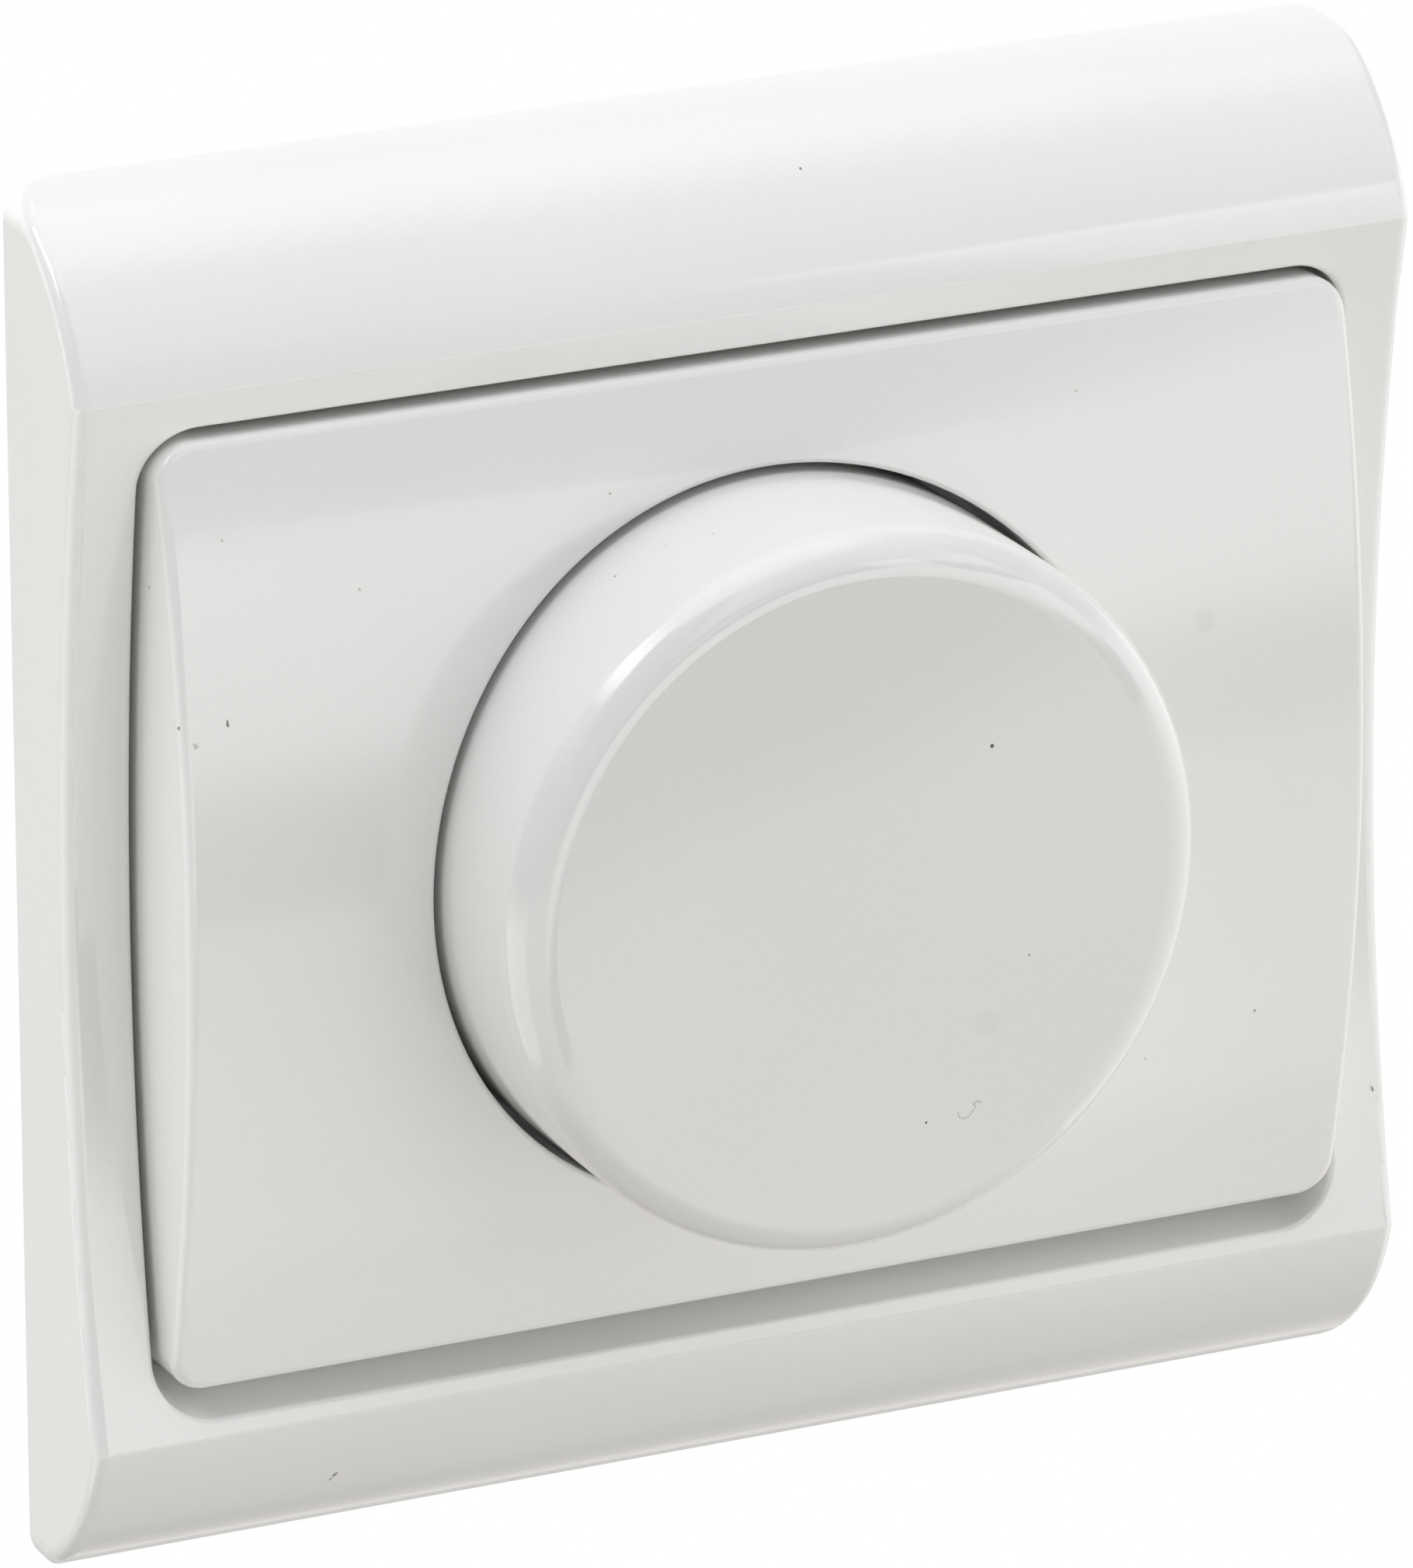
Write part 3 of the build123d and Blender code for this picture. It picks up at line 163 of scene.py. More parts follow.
# Sectors of the light tent by azimuth in degrees, 0 in front and positive to the right, and their soft edges
SECTOR_EDGE = 5.0
FRONT_RIGHT = (-5.0, 60.0)
FRONT_LEFT = (-60.0, -5.0)
RIGHT = (60.0, 120.0)
LEFT = (-120.0, -60.0)
BACK = 120.0
TOP_PANEL = (26.2, 34.0)
TOP_PANEL_EDGE = 0.5
SIDE_PANEL = (27.4, 34.0)
SIDE_PANEL_EDGE = 0.4

# Layers of the light tent, as steps by elevation: edge and softness in degrees, and the brightness above it.
# Edges are listed, and brightness comes from a least-squares fit to how light the photo's faces are.
# The bands and panels tilt, and hang in front and to the right, where the front faces mirror them.
BOX_TILT = 0.42
BAND_REACH = (-52.0, 24.0)
WHOLE_REACH = (-90.0, 90.0)
UNDERNEATH = (-90.0, 5.0, 0.98)
OVERHEAD = (62.0, 5.0, 1.94)
BAND_LAYER = (
    (-50.0, 0.8, 1.25), (-32.0, 2.0, 1.19), (-26.0, 2.0, 1.04), (-22.0, 2.0, 0.95), (-18.3, 0.12, 0.0),
    (-13.0, 0.8, 0.09), (-10.0, 2.5, 1.85), (-3.0, 0.8, 1.90), (5.0, 0.25, 0.10), (14.0, 2.0, 0.61),
    (22.0, 0.8, 0.0),
)
TOP_PANEL_LAYER = ((5.0, 0.25, 1.3), (22.0, 0.8, 0.0))
SIDE_PANEL_LAYER = ((-18.3, 0.35, 0.8), (-15.0, 0.8, 0.5), (-10.0, 2.5, 0.0))
FRONT_RIGHT_LAYER = (UNDERNEATH, (-50.0, 5.0, 0.0), (22.0, 3.0, 0.88), (42.0, 5.0, 0.91), OVERHEAD)
FRONT_LEFT_LAYER = (UNDERNEATH, (-50.0, 4.0, 1.02), (-10.0, 4.0, 0.31), (22.0, 3.0, 0.0), OVERHEAD)
RIGHT_LAYER = (
    UNDERNEATH, (-50.0, 5.0, 1.32), (-10.0, 5.0, 1.70), (10.0, 5.0, 0.49), (25.0, 5.0, 0.02),
    (45.0, 5.0, 0.66), OVERHEAD,
)
LEFT_LAYER = (
    UNDERNEATH, (-50.0, 5.0, 1.88), (-10.0, 5.0, 0.09), (10.0, 5.0, 0.0), (25.0, 5.0, 0.47),
    (45.0, 5.0, 4.79), OVERHEAD,
)
BACK_LAYER = (UNDERNEATH, (-50.0, 5.0, 0.58), (-10.0, 5.0, 1.57), (25.0, 5.0, 1.05), OVERHEAD)


def shader(name):
    """A new material with its node tree, output and principled shader."""
    material = bpy.data.materials.new(name)
    material.use_nodes = True
    tree = material.node_tree
    tree.nodes.clear()
    output = tree.nodes.new("ShaderNodeOutputMaterial")
    surface = tree.nodes.new("ShaderNodeBsdfPrincipled")
    tree.links.new(surface.outputs["BSDF"], output.inputs["Surface"])
    return material, tree, surface


def coordinates(tree):
    return tree.nodes.new("ShaderNodeTexCoord").outputs["Object"]


def maths(tree, operation, *values):
    """Result of a math node; each value is a number or another node's output."""
    node = tree.nodes.new("ShaderNodeMath")
    node.operation = operation
    for value, socket in zip(values, node.inputs):
        if isinstance(value, float):
            socket.default_value = value
        else:
            tree.links.new(value, socket)
    return node.outputs["Value"]


def noise(tree, vector, scale, detail=2.0):
    node = tree.nodes.new("ShaderNodeTexNoise")
    node.inputs["Scale"].default_value = scale
    node.inputs["Detail"].default_value = detail
    tree.links.new(vector, node.inputs["Vector"])
    return node.outputs["Fac"]


def remap(tree, value, source, target, clamp=True):
    """Value carried over from one range to another."""
    node = tree.nodes.new("ShaderNodeMapRange")
    node.clamp = clamp
    node.inputs["From Min"].default_value = source[0]
    node.inputs["From Max"].default_value = source[1]
    node.inputs["To Min"].default_value = target[0]
    node.inputs["To Max"].default_value = target[1]
    tree.links.new(value, node.inputs["Value"])
    return node.outputs["Result"]


def blend_colors(tree, factor, first, second):
    """Mix of two colours; each is a colour or another node's output."""
    node = tree.nodes.new("ShaderNodeMix")
    node.data_type = "RGBA"
    tree.links.new(factor, node.inputs["Factor"])
    for value, socket in ((first, node.inputs["A"]), (second, node.inputs["B"])):
        if isinstance(value, tuple):
            socket.default_value = value
        else:
            tree.links.new(value, socket)
    return node.outputs["Result"]


def shade(color, factor):
    return tuple(min(1.0, c * factor) for c in color[:3]) + (1.0,)


def uneven_tone(tree, value, source, color, tones, clamp=True):
    """Colour that wanders between two factors of it as the value crosses its range."""
    mask = remap(tree, value, source, FULL_RANGE, clamp)
    return blend_colors(tree, mask, shade(color, tones[0]), shade(color, tones[1]))


def uneven_shine(tree, surface, value, rough, shines, clamp=True):
    """Roughness that wanders between two factors of it as the noise crosses its range."""
    rough_map = remap(tree, value, NOISE_RANGE, (rough * shines[0], rough * shines[1]), clamp)
    tree.links.new(rough_map, surface.inputs["Roughness"])


def bump(tree, surface, height, strength, distance):
    node = tree.nodes.new("ShaderNodeBump")
    node.inputs["Strength"].default_value = strength
    node.inputs["Distance"].default_value = distance
    tree.links.new(height, node.inputs["Height"])
    tree.links.new(node.outputs["Normal"], surface.inputs["Normal"])


def specks(tree, vector, scale, size, share):
    """Mask of small scattered grains: 1 on a grain, 0 elsewhere."""
    cells = tree.nodes.new("ShaderNodeTexVoronoi")
    cells.inputs["Scale"].default_value = scale
    tree.links.new(vector, cells.inputs["Vector"])
    near = remap(tree, cells.outputs["Distance"], (size * SPECK_CORE, size), (1.0, 0.0))
    tone = tree.nodes.new("ShaderNodeSeparateColor")
    tree.links.new(cells.outputs["Color"], tone.inputs["Color"])
    chosen = remap(tree, tone.outputs["Red"], (share, share * SHARE_EDGE), FULL_RANGE)
    return maths(tree, "MULTIPLY", near, chosen)


def stains(tree, place, spots, core):
    """Mask of round spots at given places in mm; core is the share of each that is full."""
    mask = None
    for x, y, z, radius in spots:
        away = tree.nodes.new("ShaderNodeVectorMath")
        away.operation = "DISTANCE"
        tree.links.new(place, away.inputs[0])
        away.inputs[1].default_value = (x * MM, y * MM, z * MM)
        spot = remap(tree, away.outputs["Value"], (radius * core * MM, radius * MM), (1.0, 0.0))
        mask = spot if mask is None else maths(tree, "MAXIMUM", mask, spot)
    return mask


def glossy_white(name, color, rough, lean=0.0, smudges=(), dust=(), fibre=()):
    """Glossy moulded white: faint drift of tone, a fine skin, slight waves and pinpoint specks.

    lean tips the reflections of a front face, as on a knob that sits a little askew.
    smudges are faint and soft, dust is dark and sharp; each spot is a place and a radius in mm.
    """
    material, tree, surface = shader(name)
    surface.inputs["IOR"].default_value = WHITE_IOR
    place = coordinates(tree)
    drift = maths(
        tree, "ADD", noise(tree, place, scale=55.0, detail=1.0), noise(tree, place, scale=2600.0)
    )
    tone = uneven_tone(tree, drift, TWO_NOISES_RANGE, color, WHITE_TONES, clamp=False)
    tone = blend_colors(tree, specks(tree, place, scale=300.0, size=0.035, share=0.05), tone, SPECK)
    for spots, core, spot_color in (
        (smudges, SMUDGE_CORE, shade(color, SMUDGE_TONE)),
        (dust, DUST_CORE, DARK_DUST),
        (fibre, FIBRE_CORE, FIBRE_COLOR),
    ):
        if spots:
            tone = blend_colors(tree, stains(tree, place, spots, core), tone, spot_color)
    tree.links.new(tone, surface.inputs["Base Color"])
    shine = noise(tree, place, scale=150.0, detail=3.0)
    uneven_shine(tree, surface, shine, rough, WHITE_SHINES, clamp=False)
    waves = noise(tree, place, scale=38.0, detail=0.0)
    height = maths(tree, "MULTIPLY_ADD", waves, WAVE_SHARE, noise(tree, place, scale=1500.0))
    if lean:
        axes = tree.nodes.new("ShaderNodeSeparateXYZ")
        tree.links.new(place, axes.inputs["Vector"])
        height = maths(tree, "MULTIPLY_ADD", axes.outputs["Z"], math.tan(lean) / SKIN_HEIGHT, height)
    bump(tree, surface, height, 1.0, SKIN_HEIGHT)
    return material


def plastic(name, color, rough, grain=900.0, relief=0.05, dust=0.02, dust_color=BROWN_DUST):
    """Moulded plastic: slight tone drift, fine skin and a few dust grains."""
    material, tree, surface = shader(name)
    place = coordinates(tree)
    drift = noise(tree, place, scale=45.0, detail=3.0)
    tone = uneven_tone(tree, drift, NOISE_RANGE, color, PLASTIC_TONES, clamp=False)
    tone = blend_colors(tree, specks(tree, place, scale=260.0, size=0.06, share=dust), tone, dust_color)
    tree.links.new(tone, surface.inputs["Base Color"])
    uneven_shine(tree, surface, noise(tree, place, scale=120.0, detail=4.0), rough, PLASTIC_SHINES)
    bump(tree, surface, noise(tree, place, grain, detail=3.0), relief, FINE_RELIEF)
    return material


def metal(name, color, rough, stretch=(1.0, 1.0, 1.0), thread_pitch=0.0):
    """Plated or bare metal: fine streaks, uneven shine and light stains.

    Where it has a thread_pitch, its relief is a thread along Y in place of the streaks.
    """
    material, tree, surface = shader(name)
    surface.inputs["Metallic"].default_value = 1.0
    place = coordinates(tree)
    scaled = tree.nodes.new("ShaderNodeMapping")
    scaled.inputs["Scale"].default_value = stretch
    tree.links.new(place, scaled.inputs["Vector"])
    streaks = noise(tree, scaled.outputs["Vector"], scale=600.0, detail=4.0)
    stained = noise(tree, place, scale=90.0, detail=4.0)
    tone = uneven_tone(tree, stained, STAIN_RANGE, color, METAL_TONES)
    tree.links.new(tone, surface.inputs["Base Color"])
    uneven_shine(tree, surface, streaks, rough, METAL_SHINES)
    if thread_pitch:
        thread = tree.nodes.new("ShaderNodeTexWave")
        thread.bands_direction = "Y"
        thread.inputs["Scale"].default_value = math.pi / (10.0 * thread_pitch)
        tree.links.new(place, thread.inputs["Vector"])
        bump(tree, surface, thread.outputs["Fac"], 1.0, THREAD_DEPTH)
    else:
        bump(tree, surface, streaks, STREAK_STRENGTH, FINE_RELIEF)
    return material


def board(name):
    """Circuit board: green mask, paler and raised over the copper runs, and slightly mottled."""
    material, tree, surface = shader(name)
    place = coordinates(tree)
    cells = tree.nodes.new("ShaderNodeTexVoronoi")
    cells.distance = "MANHATTAN"
    cells.feature = "DISTANCE_TO_EDGE"
    cells.inputs["Scale"].default_value = 170.0
    tree.links.new(place, cells.inputs["Vector"])
    runs = remap(tree, cells.outputs["Distance"], RUN_EDGE, (1.0, 0.0))
    tone = blend_colors(tree, runs, BOARD_GREEN, BOARD_RUNS)
    mottled = remap(tree, noise(tree, place, scale=400.0, detail=3.0), NOISE_RANGE, (0.0, 0.35))
    tone = blend_colors(tree, mottled, tone, BOARD_MOTTLE)
    tree.links.new(tone, surface.inputs["Base Color"])
    surface.inputs["Roughness"].default_value = BOARD_ROUGHNESS
    bump(tree, surface, runs, RUN_STRENGTH, RUN_HEIGHT)
    return material


def dust_look(name, scale, dark, pale):
    """Matt dust whose grey wanders between two tones."""
    material, tree, surface = shader(name)
    mask = noise(tree, coordinates(tree), scale)
    tree.links.new(blend_colors(tree, mask, dark, pale), surface.inputs["Base Color"])
    surface.inputs["Roughness"].default_value = DUST_ROUGHNESS
    return material


# Looks by material slot
LOOKS = {
    "white_plastic": glossy_white("white_plastic", WHITE, WHITE_ROUGHNESS),
    "housing_plastic": plastic(
        "housing_plastic",
        (0.035, 0.035, 0.038, 1.0),
        0.52,
        grain=1500.0,
        relief=0.4,
        dust=0.03,
        dust_color=HOUSING_DUST,
    ),
    "zinc_steel": metal("zinc_steel", (0.66, 0.67, 0.66, 1.0), 0.34, stretch=(1.0, 1.0, 6.0)),
    "spring_steel": metal("spring_steel", (0.42, 0.42, 0.41, 1.0), 0.30, stretch=(1.0, 4.0, 1.0)),
    "brass": metal("brass", BRASS, BRASS_ROUGHNESS, stretch=(1.0, 8.0, 1.0)),
    "plated_brass": metal("plated_brass", (0.74, 0.68, 0.50, 1.0), 0.33, stretch=(1.0, 4.0, 1.0)),
    "pot_plastic": plastic("pot_plastic", (0.045, 0.05, 0.065, 1.0), 0.45, grain=1200.0, relief=0.2),
    "phenolic": plastic("phenolic", (0.20, 0.09, 0.03, 1.0), 0.40, grain=1800.0, relief=0.3),
    "switch_plastic": plastic("switch_plastic", (0.30, 0.31, 0.32, 1.0), 0.42, grain=1200.0, relief=0.2),
    "board_green": board("board_green"),
    "heat_aluminium": metal("heat_aluminium", (0.78, 0.79, 0.80, 1.0), 0.36, stretch=(8.0, 1.0, 1.0)),
    "component_black": plastic("component_black", (0.022, 0.022, 0.024, 1.0), 0.48, grain=2200.0, relief=0.5),
    "ferrite": plastic("ferrite", (0.03, 0.03, 0.032, 1.0), 0.62, grain=2500.0, relief=0.7),
    "copper_wire": metal("copper_wire", (0.58, 0.20, 0.07, 1.0), 0.24, stretch=(1.0, 20.0, 1.0)),
    "film_yellow": plastic("film_yellow", (0.62, 0.36, 0.03, 1.0), 0.30, grain=900.0, relief=0.1),
    "resistor_coat": plastic("resistor_coat", (0.42, 0.29, 0.14, 1.0), 0.36, grain=900.0, relief=0.2),
    "diode_blue": plastic("diode_blue", (0.03, 0.06, 0.20, 1.0), 0.28, grain=900.0, relief=0.1),
    "fuse_ceramic": plastic("fuse_ceramic", (0.72, 0.70, 0.64, 1.0), 0.40, grain=1500.0, relief=0.2),
}

# Looks of single nodes, in place of their slot's
OWN_LOOKS = {
    "knob": glossy_white(
        "knob_plastic",
        shade(WHITE, KNOB_TONE),
        KNOB_ROUGHNESS,
        lean=KNOB_LEAN,
        smudges=KNOB_SMUDGES,
        dust=KNOB_DUST,
        fibre=[(x, KNOB_FACE, z, FIBRE_RADIUS) for x, z in FIBRE],
    ),
    "centre_plate": glossy_white("plate_plastic", WHITE, PLATE_ROUGHNESS, smudges=PLATE_SMUDGES),
    "bushing": metal("threaded_brass", BRASS, BRASS_ROUGHNESS, thread_pitch=THREAD_PITCH),
}

for part in frame["record"]["subparts"]:
    node = frame["nodes"][part["node"]]
    node.data.materials.clear()
    node.data.materials.append(OWN_LOOKS.get(part["node"], LOOKS[part["material_slot"]]))


def add_piece(name, points, faces, smooth, material):
    """A new object in the scene; smooth says for each face whether it is shaded smooth."""
    mesh = bpy.data.meshes.new(name)
    mesh.from_pydata(points, [], faces)
    mesh.materials.append(material)
    mesh.polygons.foreach_set("use_smooth", smooth)
    piece = bpy.data.objects.new(name, mesh)
    bpy.context.scene.collection.objects.link(piece)
    return piece


def tube(name, path, radius, material, sides=10):
    """A round wire along the path's points, closed at both ends."""
    path = [Vector(p) for p in path]
    points, faces = [], []
    side_way = (path[1] - path[0]).normalized().orthogonal()
    for i, middle in enumerate(path):
        ahead = (path[min(i + 1, len(path) - 1)] - path[max(i - 1, 0)]).normalized()
        side_way = (side_way - ahead * side_way.dot(ahead)).normalized()
        other_way = ahead.cross(side_way)
        for k in range(sides):
            angle = 2.0 * math.pi * k / sides
            points.append(middle + (side_way * math.cos(angle) + other_way * math.sin(angle)) * radius)
    for i in range(len(path) - 1):
        for k in range(sides):
            a, b = i * sides + k, i * sides + (k + 1) % sides
            faces.append((a, b, b + sides, a + sides))
    faces.append(tuple(range(sides))[::-1])
    faces.append(tuple(range((len(path) - 1) * sides, len(path) * sides)))
    smooth = [True] * (len(faces) - 2) + [False, False]
    return add_piece(name, points, faces, smooth, material)


def helix(center, radius, start, end, turns, steps=40):
    """Points of a coil round an axis that runs along Y; center is the axis's x and z."""
    count = int(turns * steps)
    return [
        (
            center[0] + radius * math.cos(2.0 * math.pi * turns * i / count),
            start + (end - start) * i / count,
            center[1] + radius * math.sin(2.0 * math.pi * turns * i / count),
        )
        for i in range(count + 1)
    ]


def lumpy(angle, ring):
    """How far a grain's outline stands out at an angle round it, with 1 as its mean."""
    return 1.0 + WIDE_LUMP * math.sin(3.0 * angle + ring) + FINE_LUMP * math.cos(5.0 * angle + 2.0 * ring)


def grains(name, body, spots, material):
    """Small grains of dust lying on a surface: each spot is place, normal, length, width and turn."""
    points, faces = [], []
    for place, normal, length, width, turn in spots:
        up_way = Vector(normal).normalized()
        along = (Vector((0.0, 0.0, 1.0)) - up_way * up_way.z).normalized()
        across = up_way.cross(along)
        along, across = (
            along * math.cos(turn) + across * math.sin(turn),
            across * math.cos(turn) - along * math.sin(turn),
        )
        base = len(points)
        for ring in range(1, GRAIN_RINGS):
            polar = math.pi * ring / GRAIN_RINGS
            for k in range(GRAIN_SIDES):
                angle = 2.0 * math.pi * k / GRAIN_SIDES
                flat = math.sin(polar) * lumpy(angle, ring)
                points.append(
                    Vector(place) * MM
                    + along * (0.5 * length * MM * flat * math.cos(angle))
                    + across * (0.5 * width * MM * flat * math.sin(angle))
                    + up_way * (GRAIN_RISE * width * MM * (math.cos(polar) - GRAIN_SINK))
                )
        for ring in range(GRAIN_RINGS - 2):
            for k in range(GRAIN_SIDES):
                a = base + ring * GRAIN_SIDES + k
                b = base + ring * GRAIN_SIDES + (k + 1) % GRAIN_SIDES
                faces.append((a, a + GRAIN_SIDES, b + GRAIN_SIDES, b))
        last = base + (GRAIN_RINGS - 2) * GRAIN_SIDES
        faces.append(tuple(range(base, base + GRAIN_SIDES)))
        faces.append(tuple(range(last, last + GRAIN_SIDES))[::-1])
    piece = add_piece(name, points, faces, [True] * len(faces), material)
    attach(piece, body)
    return piece


# Switch spring, as a coil of wire in place of the part; the real one shortens as the knob is pressed
spring_low, spring_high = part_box("switch_spring")
spring = tube(
    "switch_spring_coil",
    helix(
        (0.0, 0.0),
        spring_high.x - SPRING_WIRE,
        spring_low.y + SPRING_WIRE,
        spring_high.y - SPRING_WIRE,
        SPRING_TURNS,
    ),
    SPRING_WIRE,
    LOOKS["spring_steel"],
)
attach(spring, "base")
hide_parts("switch_spring")
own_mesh(spring)

# Winding of the choke
wound_low, wound_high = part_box("choke_winding")
winding = tube(
    "choke_winding_coil",
    helix(
        ((wound_low.x + wound_high.x) / 2.0, (wound_low.z + wound_high.z) / 2.0),
        (wound_high.x - wound_low.x) / 2.0 - WINDING_WIRE,
        wound_low.y + WINDING_WIRE,
        wound_high.y - WINDING_WIRE,
        WINDING_TURNS,
    ),
    WINDING_WIRE,
    LOOKS["copper_wire"],
)
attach(winding, "base")
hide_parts("choke_winding")

# Dust as in the photo: place, normal, length, width and turn, in mm and radians
GRAY_DUST = dust_look("gray_dust", 9000.0, (0.24, 0.23, 0.22, 1.0), (0.42, 0.41, 0.40, 1.0))
PALE_DUST = dust_look("pale_dust", 7000.0, (0.62, 0.61, 0.59, 1.0), (0.72, 0.71, 0.69, 1.0))
grains(
    "dust_on_plate",
    "base",
    [
        ((-33.71, -13.19, 12.19), (0.0, -0.99, 0.12), 0.50, 0.20, 0.1),
        ((-36.48, -12.86, 12.24), (-0.89, -0.46, 0.06), 0.24, 0.20, 0.0),
    ],
    GRAY_DUST,
)
grains(
    "faint_dust_on_plate",
    "base",
    [
        ((-35.67, -13.29, 11.22), (0.0, -1.0, 0.10), 0.42, 0.30, 0.6),
        ((-25.35, -12.29, 18.45), (0.0, -0.98, 0.17), 0.24, 0.20, 0.0),
        ((-33.19, -11.58, 22.21), (0.0, -0.98, 0.20), 0.20, 0.16, 0.4),
        ((19.10, -11.32, 23.37), (0.0, -0.97, 0.22), 0.20, 0.18, 0.0),
        ((23.18, -12.62, -16.96), (0.0, -0.99, -0.15), 0.24, 0.18, 0.9),
    ],
    PALE_DUST,
)
grains(
    "dust_on_knob",
    "dial",
    [
        ((-11.19, -15.12, 18.01), (-0.51, 0.0, 0.86), 0.19, 0.15, 0.3),
    ],
    GRAY_DUST,
)
grains(
    "faint_dust_on_knob",
    "dial",
    [
        ((-11.99, -13.91, 17.48), (-0.55, 0.0, 0.84), 0.20, 0.16, 0.8),
        ((-11.40, -14.00, 17.87), (-0.55, 0.0, 0.84), 0.18, 0.15, 0.2),
        ((-6.10, -16.94, 20.30), (-0.29, 0.0, 0.96), 0.22, 0.18, 1.2),
        ((-8.26, -15.47, 19.52), (-0.38, 0.0, 0.93), 0.20, 0.16, 0.5),
        ((-4.48, -15.90, 20.72), (-0.19, 0.0, 0.98), 0.19, 0.16, 0.0),
        ((-13.97, -19.50, 15.93), (-0.66, 0.0, 0.75), 0.20, 0.17, 0.4),
    ],
    PALE_DUST,
)
grains(
    "dust_on_frame",
    "base",
    [
        ((-25.66, -8.13, -35.61), (0.0, -0.82, -0.57), 0.44, 0.24, -0.5),
        ((-25.84, -7.90, -35.95), (0.0, -0.82, -0.57), 0.30, 0.09, -0.7),
        ((4.40, -6.20, 36.94), (0.0, -0.72, 0.69), 0.20, 0.16, 0.0),
        ((40.13, -8.63, -23.10), (0.55, -0.83, 0.0), 0.75, 0.12, 0.5),
    ],
    GRAY_DUST,
)


def beyond(tree, angle, edge, softness):
    """0 below an edge and 1 above it, in degrees, with a smooth change between."""
    node = tree.nodes.new("ShaderNodeMapRange")
    node.interpolation_type = "SMOOTHSTEP"
    node.inputs["From Min"].default_value = math.radians(edge - softness)
    node.inputs["From Max"].default_value = math.radians(edge + softness)
    tree.links.new(angle, node.inputs["Value"])
    return node.outputs["Result"]


def sector(tree, azimuth, span, softness=SECTOR_EDGE):
    """1 between two azimuths and 0 outside them."""
    past_low = beyond(tree, azimuth, span[0], softness)
    past_high = beyond(tree, azimuth, span[1], softness)
    return maths(tree, "SUBTRACT", past_low, past_high)


def layers(tree, angle, steps, reach):
    """Brightness by elevation; below the first edge it is the first step's, or 0 where steps start late."""
    low, high = reach
    place = remap(tree, angle, (math.radians(low), math.radians(high)), FULL_RANGE)
    ramp = tree.nodes.new("ShaderNodeValToRGB")
    tree.links.new(place, ramp.inputs["Fac"])
    stops = []
    before = steps[0][2] if steps[0][0] <= low else 0.0
    for edge, softness, brightness in steps:
        stops.append(((edge - softness - low) / (high - low), before))
        stops.append(((edge + softness - low) / (high - low), brightness))
        before = brightness
    elements = ramp.color_ramp.elements
    while len(elements) > 1:
        elements.remove(elements[-1])
    for i, (position, brightness) in enumerate(stops):
        element = elements[0] if i == 0 else elements.new(max(0.0, position))
        element.position = max(0.0, position)
        element.color = (brightness / SKY_TOP,) * 3 + (1.0,)
    return maths(tree, "MULTIPLY", ramp.outputs["Color"], SKY_TOP)


def tent_brightness(tree, azimuth, elevation):
    """Brightness of the light tent in every direction, as the sum of its sectors' layers."""
    low, high = math.radians(FRONT_RIGHT[0]), math.radians(FRONT_RIGHT[1])
    near_azimuth = maths(tree, "MINIMUM", maths(tree, "MAXIMUM", azimuth, low), high)
    mirror_azimuth = -CAMERA_AZIMUTH
    off_axis = maths(tree, "SUBTRACT", near_azimuth, mirror_azimuth)
    tilted = maths(tree, "SUBTRACT", elevation, maths(tree, "MULTIPLY", off_axis, BOX_TILT))
    front_right = sector(tree, azimuth, FRONT_RIGHT)
    back = beyond(tree, maths(tree, "ABSOLUTE", azimuth), BACK, SECTOR_EDGE)
    total = None
    for share, angle, layer, reach in (
        (front_right, tilted, BAND_LAYER, BAND_REACH),
        (sector(tree, azimuth, TOP_PANEL, TOP_PANEL_EDGE), tilted, TOP_PANEL_LAYER, BAND_REACH),
        (sector(tree, azimuth, SIDE_PANEL, SIDE_PANEL_EDGE), tilted, SIDE_PANEL_LAYER, BAND_REACH),
        (front_right, elevation, FRONT_RIGHT_LAYER, WHOLE_REACH),
        (sector(tree, azimuth, FRONT_LEFT), elevation, FRONT_LEFT_LAYER, WHOLE_REACH),
        (sector(tree, azimuth, RIGHT), elevation, RIGHT_LAYER, WHOLE_REACH),
        (sector(tree, azimuth, LEFT), elevation, LEFT_LAYER, WHOLE_REACH),
        (back, elevation, BACK_LAYER, WHOLE_REACH),
    ):
        light = maths(tree, "MULTIPLY", share, layers(tree, angle, layer, reach))
        total = light if total is None else maths(tree, "ADD", total, light)
    return total


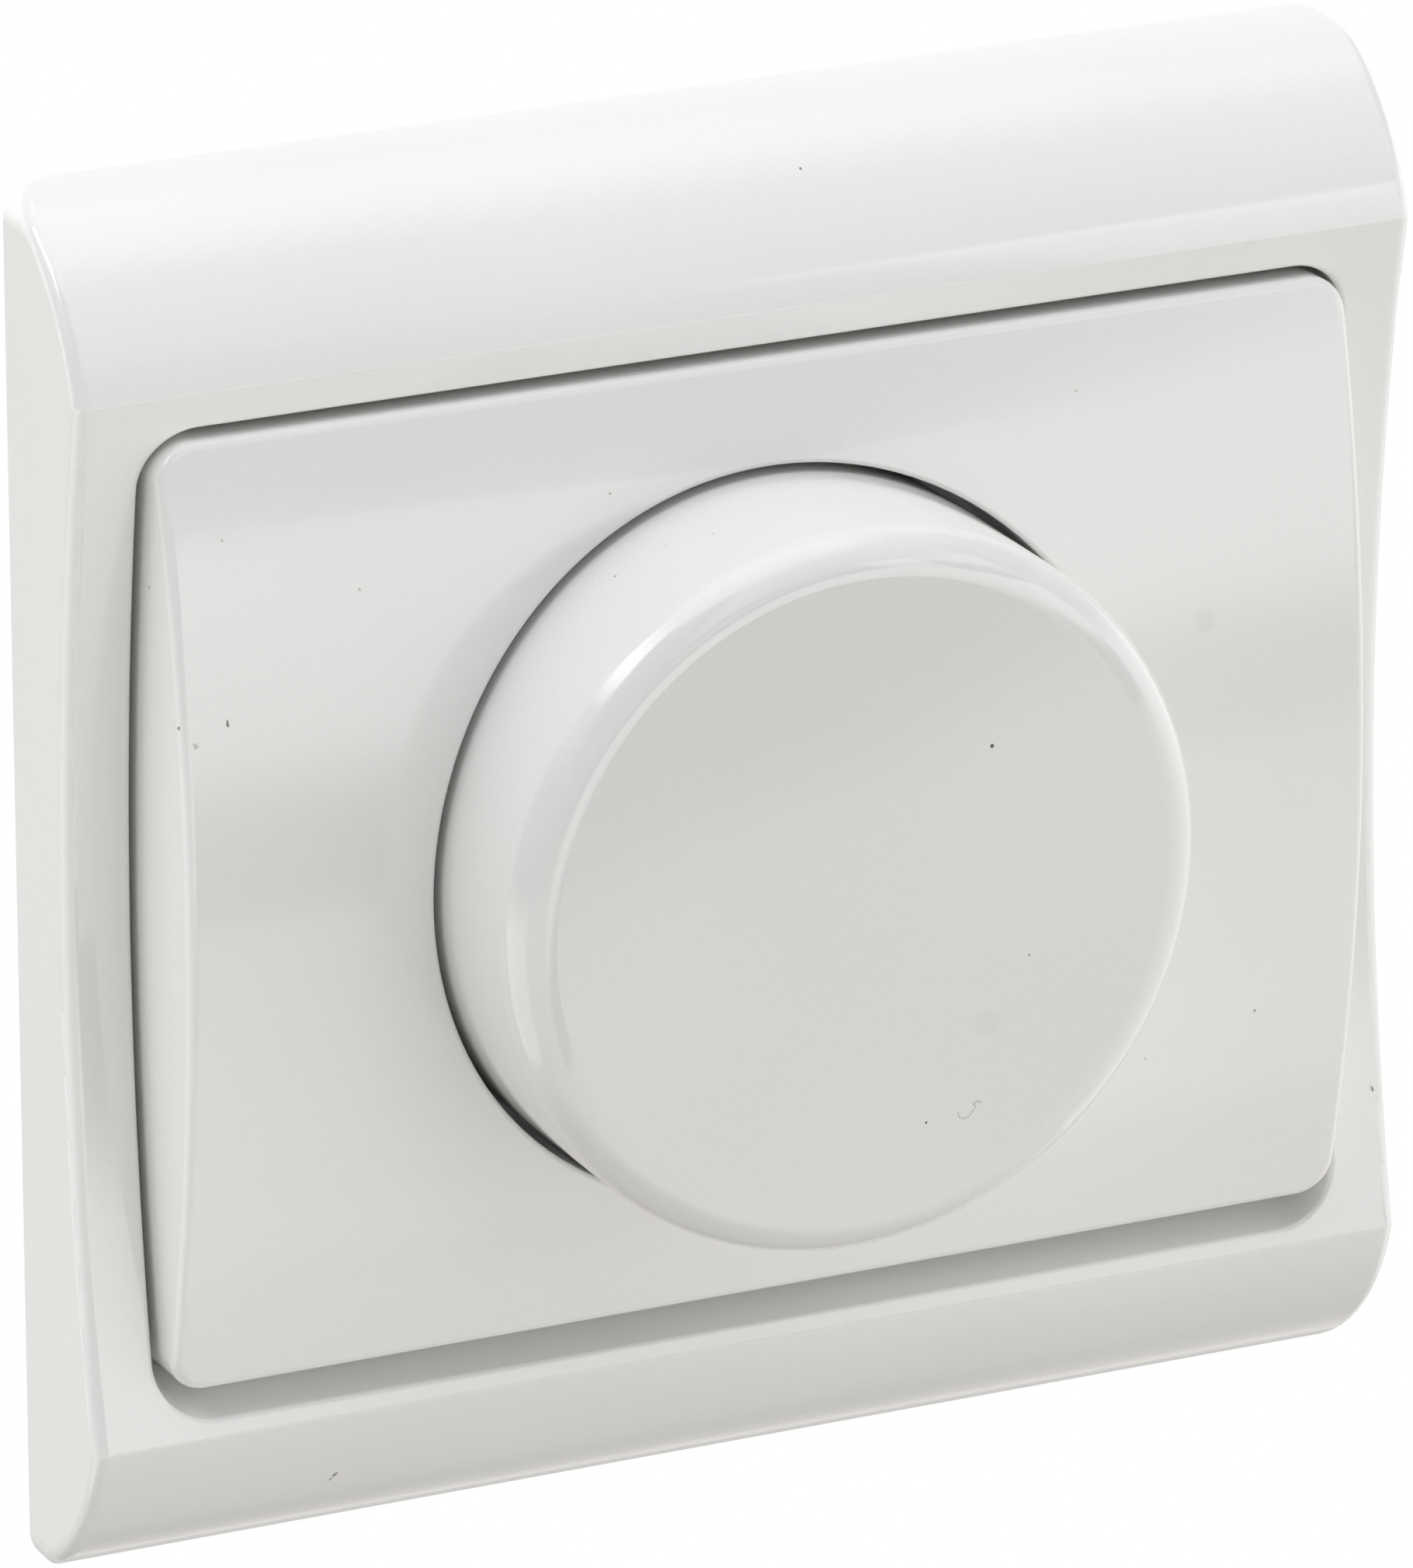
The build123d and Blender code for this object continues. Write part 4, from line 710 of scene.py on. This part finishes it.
def studio_world():
    """White to the camera; for everything else a light tent with panels, gaps and a camera's dark side."""
    world = bpy.data.worlds.new("studio")
    world.use_nodes = True
    tree = world.node_tree
    tree.nodes.clear()
    direction = tree.nodes.new("ShaderNodeTexCoord")
    axes = tree.nodes.new("ShaderNodeSeparateXYZ")
    tree.links.new(direction.outputs["Generated"], axes.inputs["Vector"])
    elevation = maths(tree, "ARCSINE", axes.outputs["Z"])
    forward = maths(tree, "MULTIPLY", axes.outputs["Y"], -1.0)
    azimuth = maths(tree, "ARCTAN2", axes.outputs["X"], forward)
    tent = tree.nodes.new("ShaderNodeBackground")
    tint = blend_colors(tree, beyond(tree, elevation, TINT_EDGE, TINT_SOFTNESS), FRONT_TINT, TOP_TINT)
    tree.links.new(tint, tent.inputs["Color"])
    tree.links.new(tent_brightness(tree, azimuth, elevation), tent.inputs["Strength"])
    white_back = tree.nodes.new("ShaderNodeBackground")
    white_back.inputs["Color"].default_value = WHITE_BACK
    white_back.inputs["Strength"].default_value = 1.0
    rays = tree.nodes.new("ShaderNodeLightPath")
    chooser = tree.nodes.new("ShaderNodeMixShader")
    tree.links.new(rays.outputs["Is Camera Ray"], chooser.inputs["Fac"])
    tree.links.new(tent.outputs["Background"], chooser.inputs[1])
    tree.links.new(white_back.outputs["Background"], chooser.inputs[2])
    output = tree.nodes.new("ShaderNodeOutputWorld")
    tree.links.new(chooser.outputs["Shader"], output.inputs["Surface"])
    return world


def floor_look():
    """Matt floor, white to the camera; to other rays it has a painted shadow in the middle and a bright rim.
    """
    material, tree, surface = shader("floor")
    reach = tree.nodes.new("ShaderNodeVectorMath")
    reach.operation = "LENGTH"
    tree.links.new(coordinates(tree), reach.inputs[0])
    # Painted shadow: the middle, under the object, throws back little light, fading out to the bright rim
    clear_of_painted_shadow = remap(tree, reach.outputs["Value"], FLOOR_REACH, FULL_RANGE)
    bounce_with_painted_shadow = blend_colors(tree, clear_of_painted_shadow, FLOOR_PAINTED_SHADOW, FLOOR_RIM)
    rays = tree.nodes.new("ShaderNodeLightPath")
    color = blend_colors(tree, rays.outputs["Is Camera Ray"], bounce_with_painted_shadow, FLOOR_SEEN)
    tree.links.new(color, surface.inputs["Base Color"])
    surface.inputs["Roughness"].default_value = FLOOR_ROUGHNESS
    surface.inputs["Specular IOR Level"].default_value = 0.0
    return material


# Light and floor
bpy.context.scene.world = studio_world()
bpy.ops.mesh.primitive_plane_add(size=FLOOR_SIZE, location=(0.0, 0.0, -FLOOR_DROP))
floor = bpy.context.object
floor.name = "floor"
floor.data.materials.append(floor_look())

# Camera
camera = bpy.data.objects.new("camera", bpy.data.cameras.new("camera"))
bpy.context.scene.collection.objects.link(camera)
bpy.context.scene.camera = camera
outward = Vector(
    (
        math.sin(CAMERA_AZIMUTH) * math.cos(CAMERA_ELEVATION),
        -math.cos(CAMERA_AZIMUTH) * math.cos(CAMERA_ELEVATION),
        math.sin(CAMERA_ELEVATION),
    )
)
right = Vector((0.0, 0.0, 1.0)).cross(outward).normalized()
up = outward.cross(right)
rolled_right = right * math.cos(CAMERA_ROLL) + up * math.sin(CAMERA_ROLL)
rolled_up = up * math.cos(CAMERA_ROLL) - right * math.sin(CAMERA_ROLL)
turn = Matrix((rolled_right, rolled_up, outward)).transposed()
camera.matrix_world = Matrix.Translation(CAMERA_TARGET + outward * CAMERA_DISTANCE) @ turn.to_4x4()
camera.data.sensor_width = SENSOR
camera.data.lens = FOCAL_PIXELS / IMAGE_HEIGHT * SENSOR
camera.data.clip_start = CLIP_NEAR
camera.data.clip_end = CLIP_FAR
bpy.context.scene.view_settings.view_transform = "Standard"
